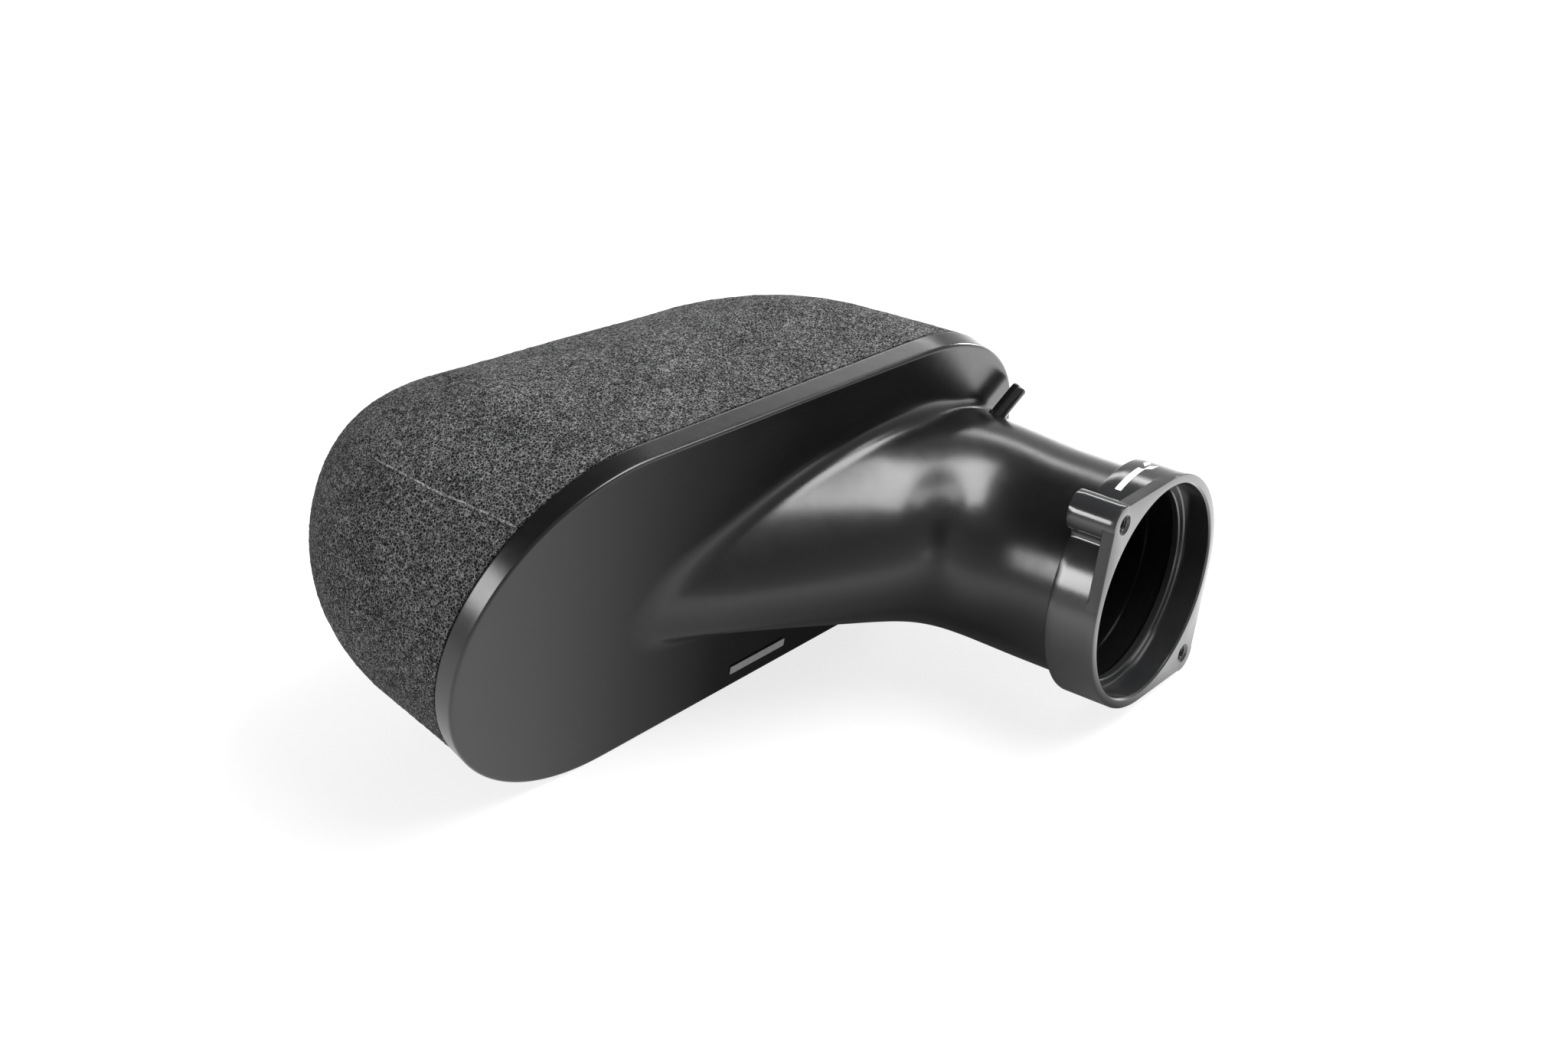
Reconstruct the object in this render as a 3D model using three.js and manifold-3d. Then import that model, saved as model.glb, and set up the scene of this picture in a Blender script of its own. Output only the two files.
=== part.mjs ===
// Foam air filter on a moulded side-entry intake duct, with a machined two-bolt outlet flange.
// Millimetres, +Z up. The outlet bore runs along Y and opens towards -Y. The part stands on z = 0,
// and the middle of its footprint is the origin.
import * as THREE from 'three';
import { mergeVertices } from 'three/addons/utils/BufferGeometryUtils.js';
import Module from 'manifold-3d';
const wasm = await Module();
wasm.setup();

// ---------------------------------------------------------------- driving dimensions
// Working frame while building: bore axis = Y axis, flange mating face at y = 0.
const BORE_R = 41;            // counterbore that takes the mating spigot
const BORE_DEPTH = 11;        // its depth to the shoulder
const WEB_R = 37.6;           // through bore behind the shoulder
const WEB_BACK = 14.1;        // rear of the shoulder web
const RING_R = 44.9;          // flange ring, outside
const RING_L = 19.5;          // flange ring, length
const RING_REAR_R = 41.3;     // rear counterbore, over the tube
const PLATE_T = 4.8;          // two-lug front plate
const LUG_X = 27.5, LUG_Z = 42; // upper bolt hole at (-x, +z), lower one opposite
const LUG_R = 7;              // lug end radius
const BOSS_R = 7.4;           // full length boss behind each lug
const BOLT_R = 3.05;          // tapped hole for an M6-class bolt
const TUBE_R = 40.2;          // duct tube, outside
const TUBE_END = 14.4;        // y of the tube's mouth, inside the flange ring
const WALL = 2.7;             // tube wall at the mouth
const WALL_IN = 3.5;          // wall past the spigot shoulder
const SHOULDER = 10;          // length of the thin-wall spigot seat
const AXIS_LEN = 102.6;       // flange face to the base plate, along the bore
const YAW = 11.13, LEAN = 13.77; // base plate: turned about Z, and leaning forward, degrees
// base plate outline: circles in plate coordinates (u to the right, v up), from the bore axis
const CL = [-151.8, 19.1, 71.4], CR = [-20.5, 19.1, 63.1], CT = [0, 0, 46.5];
const SKIRT = 10.5, SKIRT_T = 2.6, BASE_T = 3.2, EDGE_R = 1.5;
// scoop: swept ellipse that turns from the tube down into the plate
const SC = { hq: 18.0, a: 0.478, b: -0.064, rc: 64, lat: 39.35, rise: 55.1, tl: 7.4, shift: 11.4, wide: 57.5 };
const FILLET = 4.5;           // scoop to plate
// foam dome
const DOME = { depth: 120, ea: 74, aL: 15, aR: -40, b: -5.5, rL: 66, rR: 49.6 };
const FOAM = [[0.3, 5.3], [5.6, 9.1], [9.4, 12.4]]; // outer, middle, inner: offsets from the outline
const WIRE_R = 1.25;
const N = 40;                 // samples round each outline

// ---------------------------------------------------------------- small vector helpers
const add = (a, b, k = 1) => [a[0] + b[0] * k, a[1] + b[1] * k, a[2] + b[2] * k];
const mul = (a, k) => [a[0] * k, a[1] * k, a[2] * k];
const dot = (a, b) => a[0] * b[0] + a[1] * b[1] + a[2] * b[2];
const cross = (a, b) => [a[1] * b[2] - a[2] * b[1], a[2] * b[0] - a[0] * b[2], a[0] * b[1] - a[1] * b[0]];
const unit = (a) => mul(a, 1 / Math.hypot(...a));
const lerp = (a, b, t) => a.map((x, i) => x + (b[i] - x) * t);
const smooth = (t) => { t = Math.min(1, Math.max(0, t)); return t * t * (3 - 2 * t); };

// plate frame: u right, v up the plate, h out of its front face
const cy = Math.cos(YAW * Math.PI / 180), sy = Math.sin(YAW * Math.PI / 180);
const cl = Math.cos(LEAN * Math.PI / 180), sl = Math.sin(LEAN * Math.PI / 180);
const U = [cy, -sy, 0], V = [-sy * sl, -cy * sl, cl], M = [-sy * cl, -cy * cl, -sl];
const O = [0, AXIS_LEN, 0];
const W = (q) => add(add(add(O, U, q[0]), V, q[1]), M, q[2]);      // plate coords to working frame
const NU = [dot(U, [0, -1, 0]), dot(V, [0, -1, 0]), dot(M, [0, -1, 0])]; // bore axis in plate coords

// ---------------------------------------------------------------- solids from loops
// loops: rings of N points; side walls join neighbouring rings; capped or closed on themselves
function loft(loops, wrap = false) {
  const n = loops[0].length, pos = [], idx = [];
  for (const l of loops) for (const p of l) pos.push(...p);
  const m = loops.length, last = wrap ? m : m - 1;
  for (let i = 0; i < last; i++) for (let j = 0; j < n; j++) {
    const a = i * n + j, b = i * n + (j + 1) % n, c = ((i + 1) % m) * n + (j + 1) % n, d = ((i + 1) % m) * n + j;
    idx.push(a, b, c, a, c, d);
  }
  if (!wrap) for (let j = 1; j < n - 1; j++) {
    idx.push(0, j + 1, j);
    const q = (m - 1) * n; idx.push(q, q + j, q + j + 1);
  }
  return solid(pos, idx);
}
function solid(pos, idx) {
  let g = new THREE.BufferGeometry();
  g.setAttribute('position', new THREE.Float32BufferAttribute(pos, 3));
  g.setIndex(idx);
  g = mergeVertices(g, 1e-4);
  const p = g.getAttribute('position').array, ix = g.getIndex().array, keep = [];
  let vol = 0;
  for (let i = 0; i < ix.length; i += 3) {
    const [a, b, c] = [ix[i], ix[i + 1], ix[i + 2]];
    if (a === b || b === c || a === c) continue;
    keep.push(a, b, c);
    const A = [p[3 * a], p[3 * a + 1], p[3 * a + 2]], B = [p[3 * b], p[3 * b + 1], p[3 * b + 2]], C = [p[3 * c], p[3 * c + 1], p[3 * c + 2]];
    vol += dot(A, cross(B, C));
  }
  if (vol < 0) for (let i = 0; i < keep.length; i += 3) [keep[i + 1], keep[i + 2]] = [keep[i + 2], keep[i + 1]];
  g.setIndex(keep);
  return g;
}
function toM(g) {
  g = g.clone();
  for (const k of Object.keys(g.attributes)) if (k !== 'position') g.deleteAttribute(k);
  g = mergeVertices(g, 1e-4);
  return new wasm.Manifold(new wasm.Mesh({ numProp: 3, vertProperties: new Float32Array(g.getAttribute('position').array), triVerts: new Uint32Array(g.getIndex().array) }));
}
function fromM(man) {
  const m = man.getMesh(), g = new THREE.BufferGeometry();
  g.setAttribute('position', new THREE.BufferAttribute(new Float32Array(m.vertProperties), 3));
  g.setIndex(new THREE.BufferAttribute(new Uint32Array(m.triVerts), 1));
  return g;
}
// cylinder or prism along Y, from y0 to y1
function cylY(r, y0, y1, x = 0, z = 0, seg = 48) {
  const g = new THREE.CylinderGeometry(r, r, y1 - y0, seg);
  g.translate(x, (y0 + y1) / 2, z);
  return g;
}
// closed ring of rectangular section round the bore axis
function ringY(r0, r1, y0, y1, seg = 48) {
  const g = new THREE.LatheGeometry([[r0, y0], [r1, y0], [r1, y1], [r0, y1], [r0, y0]].map((p) => new THREE.Vector2(...p)), seg);
  return solid([...g.getAttribute('position').array], [...g.getIndex().array]);
}

// ---------------------------------------------------------------- scoop surface
const D2 = [-Math.cos(SC.a) * Math.cos(SC.b), Math.sin(SC.b), -Math.sin(SC.a) * Math.cos(SC.b)];
const Q = mul(NU, SC.hq / NU[2]);
const TURN = Math.acos(-dot(NU, D2)), TAN = SC.rc * Math.tan(TURN / 2);
const A1 = add(Q, NU, TAN), A2 = add(Q, D2, TAN);
const CB = add(Q, unit(add(NU, D2)), Math.hypot(TAN, SC.rc));
const E1 = mul(add(A1, CB, -1), 1 / SC.rc), E2 = mul(NU, -1);
let NN = unit(cross(NU, D2)); if (NN[1] < 0) NN = mul(NN, -1);
const L0 = (AXIS_LEN - TUBE_END) - dot(A1, NU), SB = L0 + SC.rc * TURN;
// point on the duct wall at distance s from the mouth and angle f round it (0 faces the inner bend)
function wall(s, f, inset = 0) {
  let c, t;
  if (s <= L0) { c = add(A1, NU, L0 - s); t = mul(NU, -1); }
  else if (s < SB) {
    const th = (s - L0) / SC.rc;
    c = add(add(CB, E1, SC.rc * Math.cos(th)), E2, SC.rc * Math.sin(th));
    t = add(mul(E2, Math.cos(th)), E1, -Math.sin(th));
  } else { c = add(A2, D2, s - SB); t = D2; }
  const k = smooth((s - (L0 - SC.tl)) / (SB - L0 + 2 * SC.tl)), k2 = Math.min(1, Math.max(0, (s - SB) / 110));
  const la = TUBE_R + (SC.lat - TUBE_R) * k + (SC.wide - SC.lat) * k2 * k2 - inset;
  const lb = TUBE_R + (SC.rise - TUBE_R) * k - inset;
  let e = cross(t, NN); if (dot(add(CB, c, -1), e) < 0) e = mul(e, -1);
  c = add(c, NN, SC.shift * k);
  return add(add(c, e, lb * Math.cos(f)), NN, la * Math.sin(f));
}
function wallNormal(s, f) {
  const a = add(wall(s + 0.05, f), wall(s - 0.05, f), -1), b = add(wall(s, f + 0.002), wall(s, f - 0.002), -1);
  let n = unit(cross(a, b));
  const mid = mul(add(wall(s, f), wall(s, f + Math.PI)), 0.5);
  return dot(add(wall(s, f), mid, -1), n) < 0 ? mul(n, -1) : n;
}
// distance along the wall at which a test falls to zero
function hit(test) {
  let lo = 10, hi = lo;
  while (test(hi) > 0 && hi < 260) { lo = hi; hi += 2; }
  for (let i = 0; i < 30; i++) { const m = (lo + hi) / 2; if (test(m) > 0) lo = m; else hi = m; }
  return lo;
}
// plate outline: convex hull of the three circles and of the scoop's foot with a small margin
function hull(pts) {
  pts = pts.slice().sort((a, b) => a[0] - b[0] || a[1] - b[1]);
  const cr = (o, a, b) => (a[0] - o[0]) * (b[1] - o[1]) - (a[1] - o[1]) * (b[0] - o[0]), half = (ps) => {
    const h = [];
    for (const p of ps) { while (h.length > 1 && cr(h[h.length - 2], h[h.length - 1], p) <= 0) h.pop(); h.push(p); }
    h.pop(); return h;
  };
  return [...half(pts), ...half(pts.reverse())];
}
const DENSE = 720, raw = [];
for (let i = 0; i < DENSE; i++) {
  const f = 2 * Math.PI * i / DENSE;
  const s = hit((x) => add(wall(x, f), wallNormal(x, f), FILLET)[2] - FILLET);
  const n = wallNormal(s, f), c = add(wall(s, f), n, FILLET);
  raw.push({ f, s, n, c, k: [c[0], c[1]] });
}
const circ = (c, k = 180) => Array.from({ length: k }, (_, i) => [c[0] + c[2] * Math.cos(2 * Math.PI * i / k), c[1] + c[2] * Math.sin(2 * Math.PI * i / k)]);
const mid = [-60, 8];
const edge = hull([...circ(CL), ...circ(CR), ...circ(CT), ...raw.map((r) => { const d = [r.k[0] - mid[0], r.k[1] - mid[1]], l = Math.hypot(...d); return [r.k[0] + d[0] / l * (EDGE_R + 0.7), r.k[1] + d[1] / l * (EDGE_R + 0.7)]; })]);
const SEG = [[-112, 14], [-4, 2]];
function onSeg(p, a, b) { const d = [b[0] - a[0], b[1] - a[1]]; return Math.min(1, Math.max(0, ((p[0] - a[0]) * d[0] + (p[1] - a[1]) * d[1]) / (d[0] ** 2 + d[1] ** 2))); }
function cast(p) {          // from the skeleton through p to the outline
  const w = onSeg(p, ...SEG), o = lerp(SEG[0], SEG[1], w), d = [p[0] - o[0], p[1] - o[1]];
  let best = null;
  for (let i = 0; i < edge.length; i++) {
    const a = edge[i], b = edge[(i + 1) % edge.length], e = [b[0] - a[0], b[1] - a[1]], den = d[0] * e[1] - d[1] * e[0];
    if (Math.abs(den) < 1e-12) continue;
    const t = ((a[0] - o[0]) * e[1] - (a[1] - o[1]) * e[0]) / den, r = ((a[0] - o[0]) * d[1] - (a[1] - o[1]) * d[0]) / den;
    if (t > 0 && r >= -1e-9 && r <= 1 + 1e-9 && (!best || t > best.t)) best = { t, p: [o[0] + d[0] * t, o[1] + d[1] * t] };
  }
  return best.p;
}
for (const r of raw) r.g = cast(r.k);
// spread N samples evenly over foot and outline together
const cum = [0];
for (let i = 0; i < DENSE; i++) { const a = raw[i], b = raw[(i + 1) % DENSE]; cum.push(cum[i] + Math.hypot(a.k[0] - b.k[0], a.k[1] - b.k[1]) + 1.3 * Math.hypot(a.g[0] - b.g[0], a.g[1] - b.g[1])); }
const ray = [];
for (let j = 0, i = 0; j < N; j++) {
  const t = cum[DENSE] * j / N;
  while (cum[i + 1] < t) i++;
  ray.push(raw[i]);
}
const G = ray.map((r) => r.g);
const outward = G.map((p, j) => { const a = G[(j + N - 1) % N], b = G[(j + 1) % N], t = [b[0] - a[0], b[1] - a[1]], l = Math.hypot(...t); let n = [t[1] / l, -t[0] / l]; const m0 = [p[0] + 80, p[1] - 15]; if (n[0] * m0[0] + n[1] * m0[1] < 0) n = [-n[0], -n[1]]; return n; });
const off = (d, h) => G.map((p, j) => W([p[0] - outward[j][0] * d, p[1] - outward[j][1] * d, h]));

// ---------------------------------------------------------------- duct moulding
function duct() {
  const loops = [];
  const steps = 15;
  for (let i = 0; i <= steps; i++) { const t = i / steps, w = 0.55 * t + 0.45 * t * t * t; loops.push(ray.map((r) => W(wall(r.s * (i === steps ? 1 : w), r.f)))); }
  for (let i = 1; i <= 3; i++) loops.push(ray.map((r) => {
    const a = mul(r.n, -1), b = [0, 0, -1], ang = Math.acos(Math.min(1, dot(a, b))), t = i / 3;
    const d = ang < 1e-6 ? b : add(mul(a, Math.sin((1 - t) * ang) / Math.sin(ang)), b, Math.sin(t * ang) / Math.sin(ang));
    return W(add(r.c, d, FILLET));
  }));
  for (let i = 0; i <= 3; i++) { const t = i / 3 * Math.PI / 2; loops.push(off(EDGE_R * (1 - Math.sin(t)), -EDGE_R * (1 - Math.cos(t)))); }
  loops.push(off(0, -SKIRT), off(SKIRT_T, -SKIRT), off(SKIRT_T, -BASE_T));
  const inner = ray.map((r) => { const s = hit((x) => wall(x, r.f, WALL_IN)[2] + BASE_T); return { f: r.f, s }; });
  const back = 11;
  for (let i = back; i >= 0; i--) { const t = i / back; loops.push(inner.map((r) => W(wall(SHOULDER + (r.s - SHOULDER) * t, r.f, WALL_IN)))); }
  loops.push(inner.map((r) => W(wall(SHOULDER, r.f, WALL))), inner.map((r) => W(wall(0, r.f, WALL))));
  return loft(loops, true);
}
// breather spigot: lies just in front of the plate, at 45 degrees up to the right
const NIP_A = [19, 30.2, 5.2], NIP_DIR = unit([1, 1, 0]), NIP_L = 24.5;
function rod(r, l0, l1, seg = 20) {
  const g = new THREE.CylinderGeometry(r, r, l1 - l0, seg);
  const a = W(add(NIP_A, NIP_DIR, l0)), b = W(add(NIP_A, NIP_DIR, l1));
  g.applyQuaternion(new THREE.Quaternion().setFromUnitVectors(new THREE.Vector3(0, 1, 0), new THREE.Vector3(...unit(add(b, a, -1)))));
  g.translate(...mul(add(a, b), 0.5));
  return g;
}

// ---------------------------------------------------------------- flange
function flange() {
  const prof = [];
  const hullPts = hull([...circ([0, 0, RING_R], 56), ...circ([-LUG_X, LUG_Z, LUG_R], 20), ...circ([LUG_X, -LUG_Z, LUG_R], 20)]);
  const shape = new THREE.Shape(hullPts.map((p) => new THREE.Vector2(...p)));
  const plate = new THREE.ExtrudeGeometry(shape, { depth: PLATE_T - 0.6, bevelEnabled: true, bevelThickness: 0.6, bevelSize: 0.6, bevelOffset: -0.6, bevelSegments: 1, steps: 1 });
  plate.rotateX(Math.PI / 2); plate.translate(0, PLATE_T - 0.6 + 0.6, 0);
  // extrusion runs +Z, turned to run -Y, so shape y becomes z
  let m = toM(plate);
  m = m.add(toM(cylY(RING_R, 0.6, RING_L, 0, 0, 56)));
  for (const s of [-1, 1]) m = m.add(toM(cylY(BOSS_R, 0.6, RING_L, s * LUG_X, -s * LUG_Z, 24)));
  m = m.subtract(toM(cylY(BORE_R, -1, BORE_DEPTH, 0, 0, 56))).subtract(toM(cylY(WEB_R, -1, RING_L + 1, 0, 0, 56))).subtract(toM(cylY(RING_REAR_R, WEB_BACK, RING_L + 1, 0, 0, 56)));
  for (const s of [-1, 1]) m = m.subtract(toM(cylY(BOLT_R, -1, 16, s * LUG_X, -s * LUG_Z, 20)));
  return fromM(m);
}

// ---------------------------------------------------------------- foam dome
const cL0 = [CL[0], CL[1]], cR0 = [CR[0], CR[1]];
const dome = G.map((g) => { const w = onSeg(g, cL0, cR0), c = lerp(cL0, cR0, w); const d = [g[0] - c[0], g[1] - c[1]], r = Math.hypot(...d); return { w, d: [d[0] / r, d[1] / r], r }; });
// ring of the dome at parameter k (0 at the base, 1 at the ridge), offset inwards, from base depth d0
function domePoint(q, k, inset, d0) {
  const D = DOME.depth - inset, flat = DOME.depth - DOME.ea, t0 = 0.34;
  let d, c;
  if (k < t0) { d = d0 + (flat - d0) * k / t0; c = 1; } else { const t = (k - t0) / (1 - t0) * Math.PI / 2; d = flat + (D - flat) * Math.sin(t); c = Math.cos(t); }
  const s = Math.max(0, (d - SKIRT) / (DOME.depth - SKIRT));
  const ctr = lerp([CL[0] - DOME.aL * s, CL[1] + DOME.b * s], [CR[0] + DOME.aR * s, CR[1] + DOME.b * s], q.w);
  const r = (q.r - inset + ((DOME.rL - CL[2]) * (1 - q.w) + (DOME.rR - CR[2]) * q.w) * s) * c;
  return [ctr[0] + q.d[0] * r, ctr[1] + q.d[1] * r, -d];
}
const ringAt = (k, inset, d0) => dome.map((q) => W(domePoint(q, k, inset, d0)));
const KS = [0, 0.34, 0.52, 0.7, 0.86, 0.96];
function foam([o, i], d0) {
  const loops = KS.map((k) => ringAt(k, o, d0)), inn = KS.map((k) => ringAt(k, i, d0)).reverse();
  // outer wall up to its ridge, then down the inside: closed at each ridge by a flat cap
  const n = N, pos = [], idx = [];
  for (const l of [...loops, ...inn]) for (const p of l) pos.push(...p);
  const side = (a, b) => { for (let j = 0; j < n; j++) { const p = a * n + j, q = a * n + (j + 1) % n, r = b * n + (j + 1) % n, s = b * n + j; idx.push(p, q, r, p, r, s); } };
  const m = KS.length;
  for (let i2 = 0; i2 < m - 1; i2++) { side(i2, i2 + 1); side(m + i2, m + i2 + 1); }
  side(2 * m - 1, 0);
  for (let j = 1; j < n - 1; j++) { const q = (m - 1) * n; idx.push(q, q + j, q + j + 1); const r = m * n; idx.push(r, r + j + 1, r + j); }
  return solid(pos, idx);
}

// ---------------------------------------------------------------- wires
function wire(points, closed = false, r = WIRE_R, sides = 6) {
  const n = points.length, rings = [];
  let nrm = null;
  for (let i = 0; i < n; i++) {
    const a = closed ? points[(i + n - 1) % n] : points[Math.max(0, i - 1)], b = closed ? points[(i + 1) % n] : points[Math.min(n - 1, i + 1)];
    const t = unit(add(b, a, -1));
    if (!nrm) nrm = unit(cross(t, closed ? M : (Math.abs(dot(t, U)) > 0.8 ? V : U)));
    nrm = closed ? unit(add(M, t, -dot(M, t))) : unit(add(nrm, t, -dot(nrm, t)));
    const bi = cross(t, nrm);
    rings.push(Array.from({ length: sides }, (_, k) => add(add(points[i], nrm, r * Math.cos(2 * Math.PI * k / sides)), bi, r * Math.sin(2 * Math.PI * k / sides))));
  }
  return loft(rings, closed);
}
const CAGE = 12.4 + 1.9 + WIRE_R;
const hoopAt = (k, inset) => dome.map((q) => W(domePoint({ w: q.w, d: q.d, r: CL[2] + (CR[2] - CL[2]) * q.w }, k, inset, 14)));
// arch over the dome at position w along the ridge
function arch(w, inset, steps = 9) {
  const up = { w, d: [0, 1], r: lerp([CL[2]], [CR[2]], w)[0] }, dn = { w, d: [0, -1], r: up.r };
  const pts = [];
  for (let i = 0; i <= steps; i++) pts.push(W(domePoint(up, i / steps * 0.97, inset, 14)));
  for (let i = steps; i >= 0; i--) pts.push(W(domePoint(dn, i / steps * 0.97, inset, 14)));
  return pts;
}
function ridge(inset, steps = 9) {
  const l = { w: 0, d: [-1, 0], r: CL[2] }, r = { w: 1, d: [1, 0], r: CR[2] };
  const pts = [];
  for (let i = 0; i <= steps; i++) pts.push(W(domePoint(l, i / steps * 0.97, inset, 14)));
  for (let i = steps; i >= 0; i--) pts.push(W(domePoint(r, i / steps * 0.97, inset, 14)));
  return pts;
}

// ---------------------------------------------------------------- thin patches
// label: thin sheet that follows the duct wall
function patch(at, nu, nv, lo, hi) {
  const pos = [], idx = [], id = (k, i, j) => (k * (nu + 1) + i) * (nv + 1) + j;
  for (const k of [lo, hi]) for (let i = 0; i <= nu; i++) for (let j = 0; j <= nv; j++) pos.push(...at(i / nu, j / nv, k));
  const quad = (a, b, c, d) => idx.push(a, b, c, a, c, d);
  for (let i = 0; i < nu; i++) for (let j = 0; j < nv; j++) { quad(id(0, i, j), id(0, i, j + 1), id(0, i + 1, j + 1), id(0, i + 1, j)); quad(id(1, i, j), id(1, i + 1, j), id(1, i + 1, j + 1), id(1, i, j + 1)); }
  for (let i = 0; i < nu; i++) { quad(id(0, i, 0), id(0, i + 1, 0), id(1, i + 1, 0), id(1, i, 0)); quad(id(0, i + 1, nv), id(0, i, nv), id(1, i, nv), id(1, i + 1, nv)); }
  for (let j = 0; j < nv; j++) { quad(id(0, 0, j + 1), id(0, 0, j), id(1, 0, j), id(1, 0, j + 1)); quad(id(0, nu, j), id(0, nu, j + 1), id(1, nu, j + 1), id(1, nu, j)); }
  return solid(pos, idx);
}

// ---------------------------------------------------------------- assembly
const root = new THREE.Group();
const body = new THREE.Group();
root.add(body);
const mat = (c, r, m) => new THREE.MeshStandardMaterial({ color: c, roughness: r, metalness: m });
const part = (name, geo, material) => { const g = geo.clone(); g.computeVertexNormals(); const x = new THREE.Mesh(g, material); x.name = name; body.add(x); };
const BLACK = mat(0x17181a, 0.38, 0), ANOD = mat(0x0c0c0d, 0.28, 0.8), FOAMC = mat(0x3a3b3d, 0.95, 0), STEEL = mat(0x9a9b9d, 0.35, 1), GLUE = mat(0x202022, 0.6, 0);

let shell = toM(duct());
shell = shell.subtract(toM(rod(4.4, -6, 22)));
part('duct_moulding', fromM(shell), BLACK);
part('outlet_flange', flange(), ANOD);
part('flange_bond_ring', ringY(40.5, 41.0, WEB_BACK + 0.3, RING_L - 1.0), GLUE);
part('breather_nipple', fromM(toM(rod(3.0, 0, NIP_L)).subtract(toM(rod(2.0, -1, NIP_L + 1)))), BLACK);
part('nipple_seal', fromM(toM(rod(4.1, 1.5, 7.5)).subtract(toM(rod(3.3, 0, 9)))), mat(0x111111, 0.7, 0));
['foam_outer', 'foam_middle', 'foam_inner'].forEach((n, i) => part(n, foam(FOAM[i], i ? 7.2 : SKIRT + 0.3), FOAMC));
// seam where the ends of the foam wrap are bonded: a thin line that runs up the left shoulder
part('foam_seam_bond', patch((i, j, k) => {
  const a = (127.3 + 6.7 * i) * Math.PI / 180 + (j - 0.5) / 70, q = { w: 0, d: [Math.cos(a), Math.sin(a)], r: CL[2] };
  return W(domePoint(q, 0.01 + 0.49 * i, k, SKIRT + 0.3));
}, 10, 1, 0, -0.4), GLUE);
// blank rating label on the plate below the scoop
part('rating_label', patch((i, j, k) => {
  const c = [-75.6, -39.8], t = 0.037, x = (i - 0.5) * 27, y = (j - 0.5) * 3.9;
  return W([c[0] + x * Math.cos(t) - y * Math.sin(t), c[1] + x * Math.sin(t) + y * Math.cos(t), k]);
}, 2, 1, 0.3, 0.6), mat(0xb0b0ae, 0.5, 0));
part('base_bead', loft([off(SKIRT_T + 0.3, -BASE_T - 0.3), off(SKIRT_T + 0.3, -6.9), off(12.4, -6.9), off(12.4, -BASE_T - 0.3)], true), GLUE);
part('cage_base_hoop', wire(off(CAGE, -9.5), true), STEEL);
part('cage_mid_hoop', wire(hoopAt(0.42, CAGE + 3.6), true), STEEL);
part('cage_top_hoop', wire(hoopAt(0.72, CAGE + 3.6), true), STEEL);
[0, 0.25, 0.5, 0.75, 1].forEach((w, i) => part('cage_rib_' + (i + 1), wire(arch(w, CAGE)), STEEL));
part('cage_ridge_wire', wire(ridge(CAGE + 7.4)), STEEL);
// the part stands on z = 0 with its footprint centred on the origin
const bb = new THREE.Box3().setFromObject(body);
body.position.set(-(bb.min.x + bb.max.x) / 2, -(bb.min.y + bb.max.y) / 2, -bb.min.z);
root.updateMatrixWorld(true);
export default root;
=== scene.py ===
import math
import bpy, bmesh
import numpy as np
from mathutils import Matrix, Vector, geometry, noise


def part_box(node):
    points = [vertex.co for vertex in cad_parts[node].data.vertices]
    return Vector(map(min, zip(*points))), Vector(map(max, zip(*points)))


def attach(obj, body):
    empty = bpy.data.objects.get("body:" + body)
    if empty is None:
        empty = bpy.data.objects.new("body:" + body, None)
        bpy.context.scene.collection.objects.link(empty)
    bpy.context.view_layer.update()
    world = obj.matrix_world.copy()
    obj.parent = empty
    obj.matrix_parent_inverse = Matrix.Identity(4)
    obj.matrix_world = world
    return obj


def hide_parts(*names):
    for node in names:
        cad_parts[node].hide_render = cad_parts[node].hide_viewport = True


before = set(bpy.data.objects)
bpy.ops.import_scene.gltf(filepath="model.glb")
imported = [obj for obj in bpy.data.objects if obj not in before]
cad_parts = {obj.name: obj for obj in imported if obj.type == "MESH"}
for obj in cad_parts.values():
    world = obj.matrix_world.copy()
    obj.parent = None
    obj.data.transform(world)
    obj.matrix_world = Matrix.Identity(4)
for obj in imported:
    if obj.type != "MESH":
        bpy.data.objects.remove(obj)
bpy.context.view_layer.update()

SC = bpy.context.scene
TAU = 2 * math.pi

# ------------------------------------------------------------------ where the duct sits in the row frame (mm)
_r0, _r1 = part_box("flange_bond_ring")
_f0, _f1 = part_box("outlet_flange")
POS = np.array([(_r0[0] + _r1[0]) * 500, _f0[1] * 1000, (_r0[2] + _r1[2]) * 500])

# driving sizes, in millimetres, the same as the CAD model's
BORE_R, BORE_DEPTH, WEB_R, WEB_BACK = 41.0, 11.0, 37.6, 14.1
RING_R, RING_L, RING_REAR_R, PLATE_T = 44.9, 19.5, 41.3, 4.8
LUG_X, LUG_Z, LUG_R, BOSS_R, BOLT_R = 27.5, 42.0, 7.0, 7.4, 3.05
TUBE_R, TUBE_END, WALL, WALL_IN, SHOULDER = 40.2, 14.4, 2.7, 3.5, 10.0
AXIS_LEN, YAW, LEAN = 102.6, math.radians(11.13), math.radians(13.77)
CL, CR, CT = (-151.8, 19.1, 71.4), (-20.5, 19.1, 63.1), (0.0, 0.0, 46.5)
SKIRT, SKIRT_T, BASE_T, EDGE_R = 8.9, 2.6, 3.2, 1.2
HQ, SA, SB_, RC, LAT, RISE, TL, SHIFT, WIDE = 18.0, 0.478, -0.064, 64.0, 39.35, 55.1, 7.4, 11.4, 57.5
FILLET = 3.2
D_DEPTH, D_EA, D_AL, D_AR, D_B, D_RL, D_RR = 120.0, 74.0, 15.0, -40.0, -5.5, 66.0, 49.6
WIRE_R = 1.25
CAGE = 12.4 + 1.9 + WIRE_R

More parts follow.
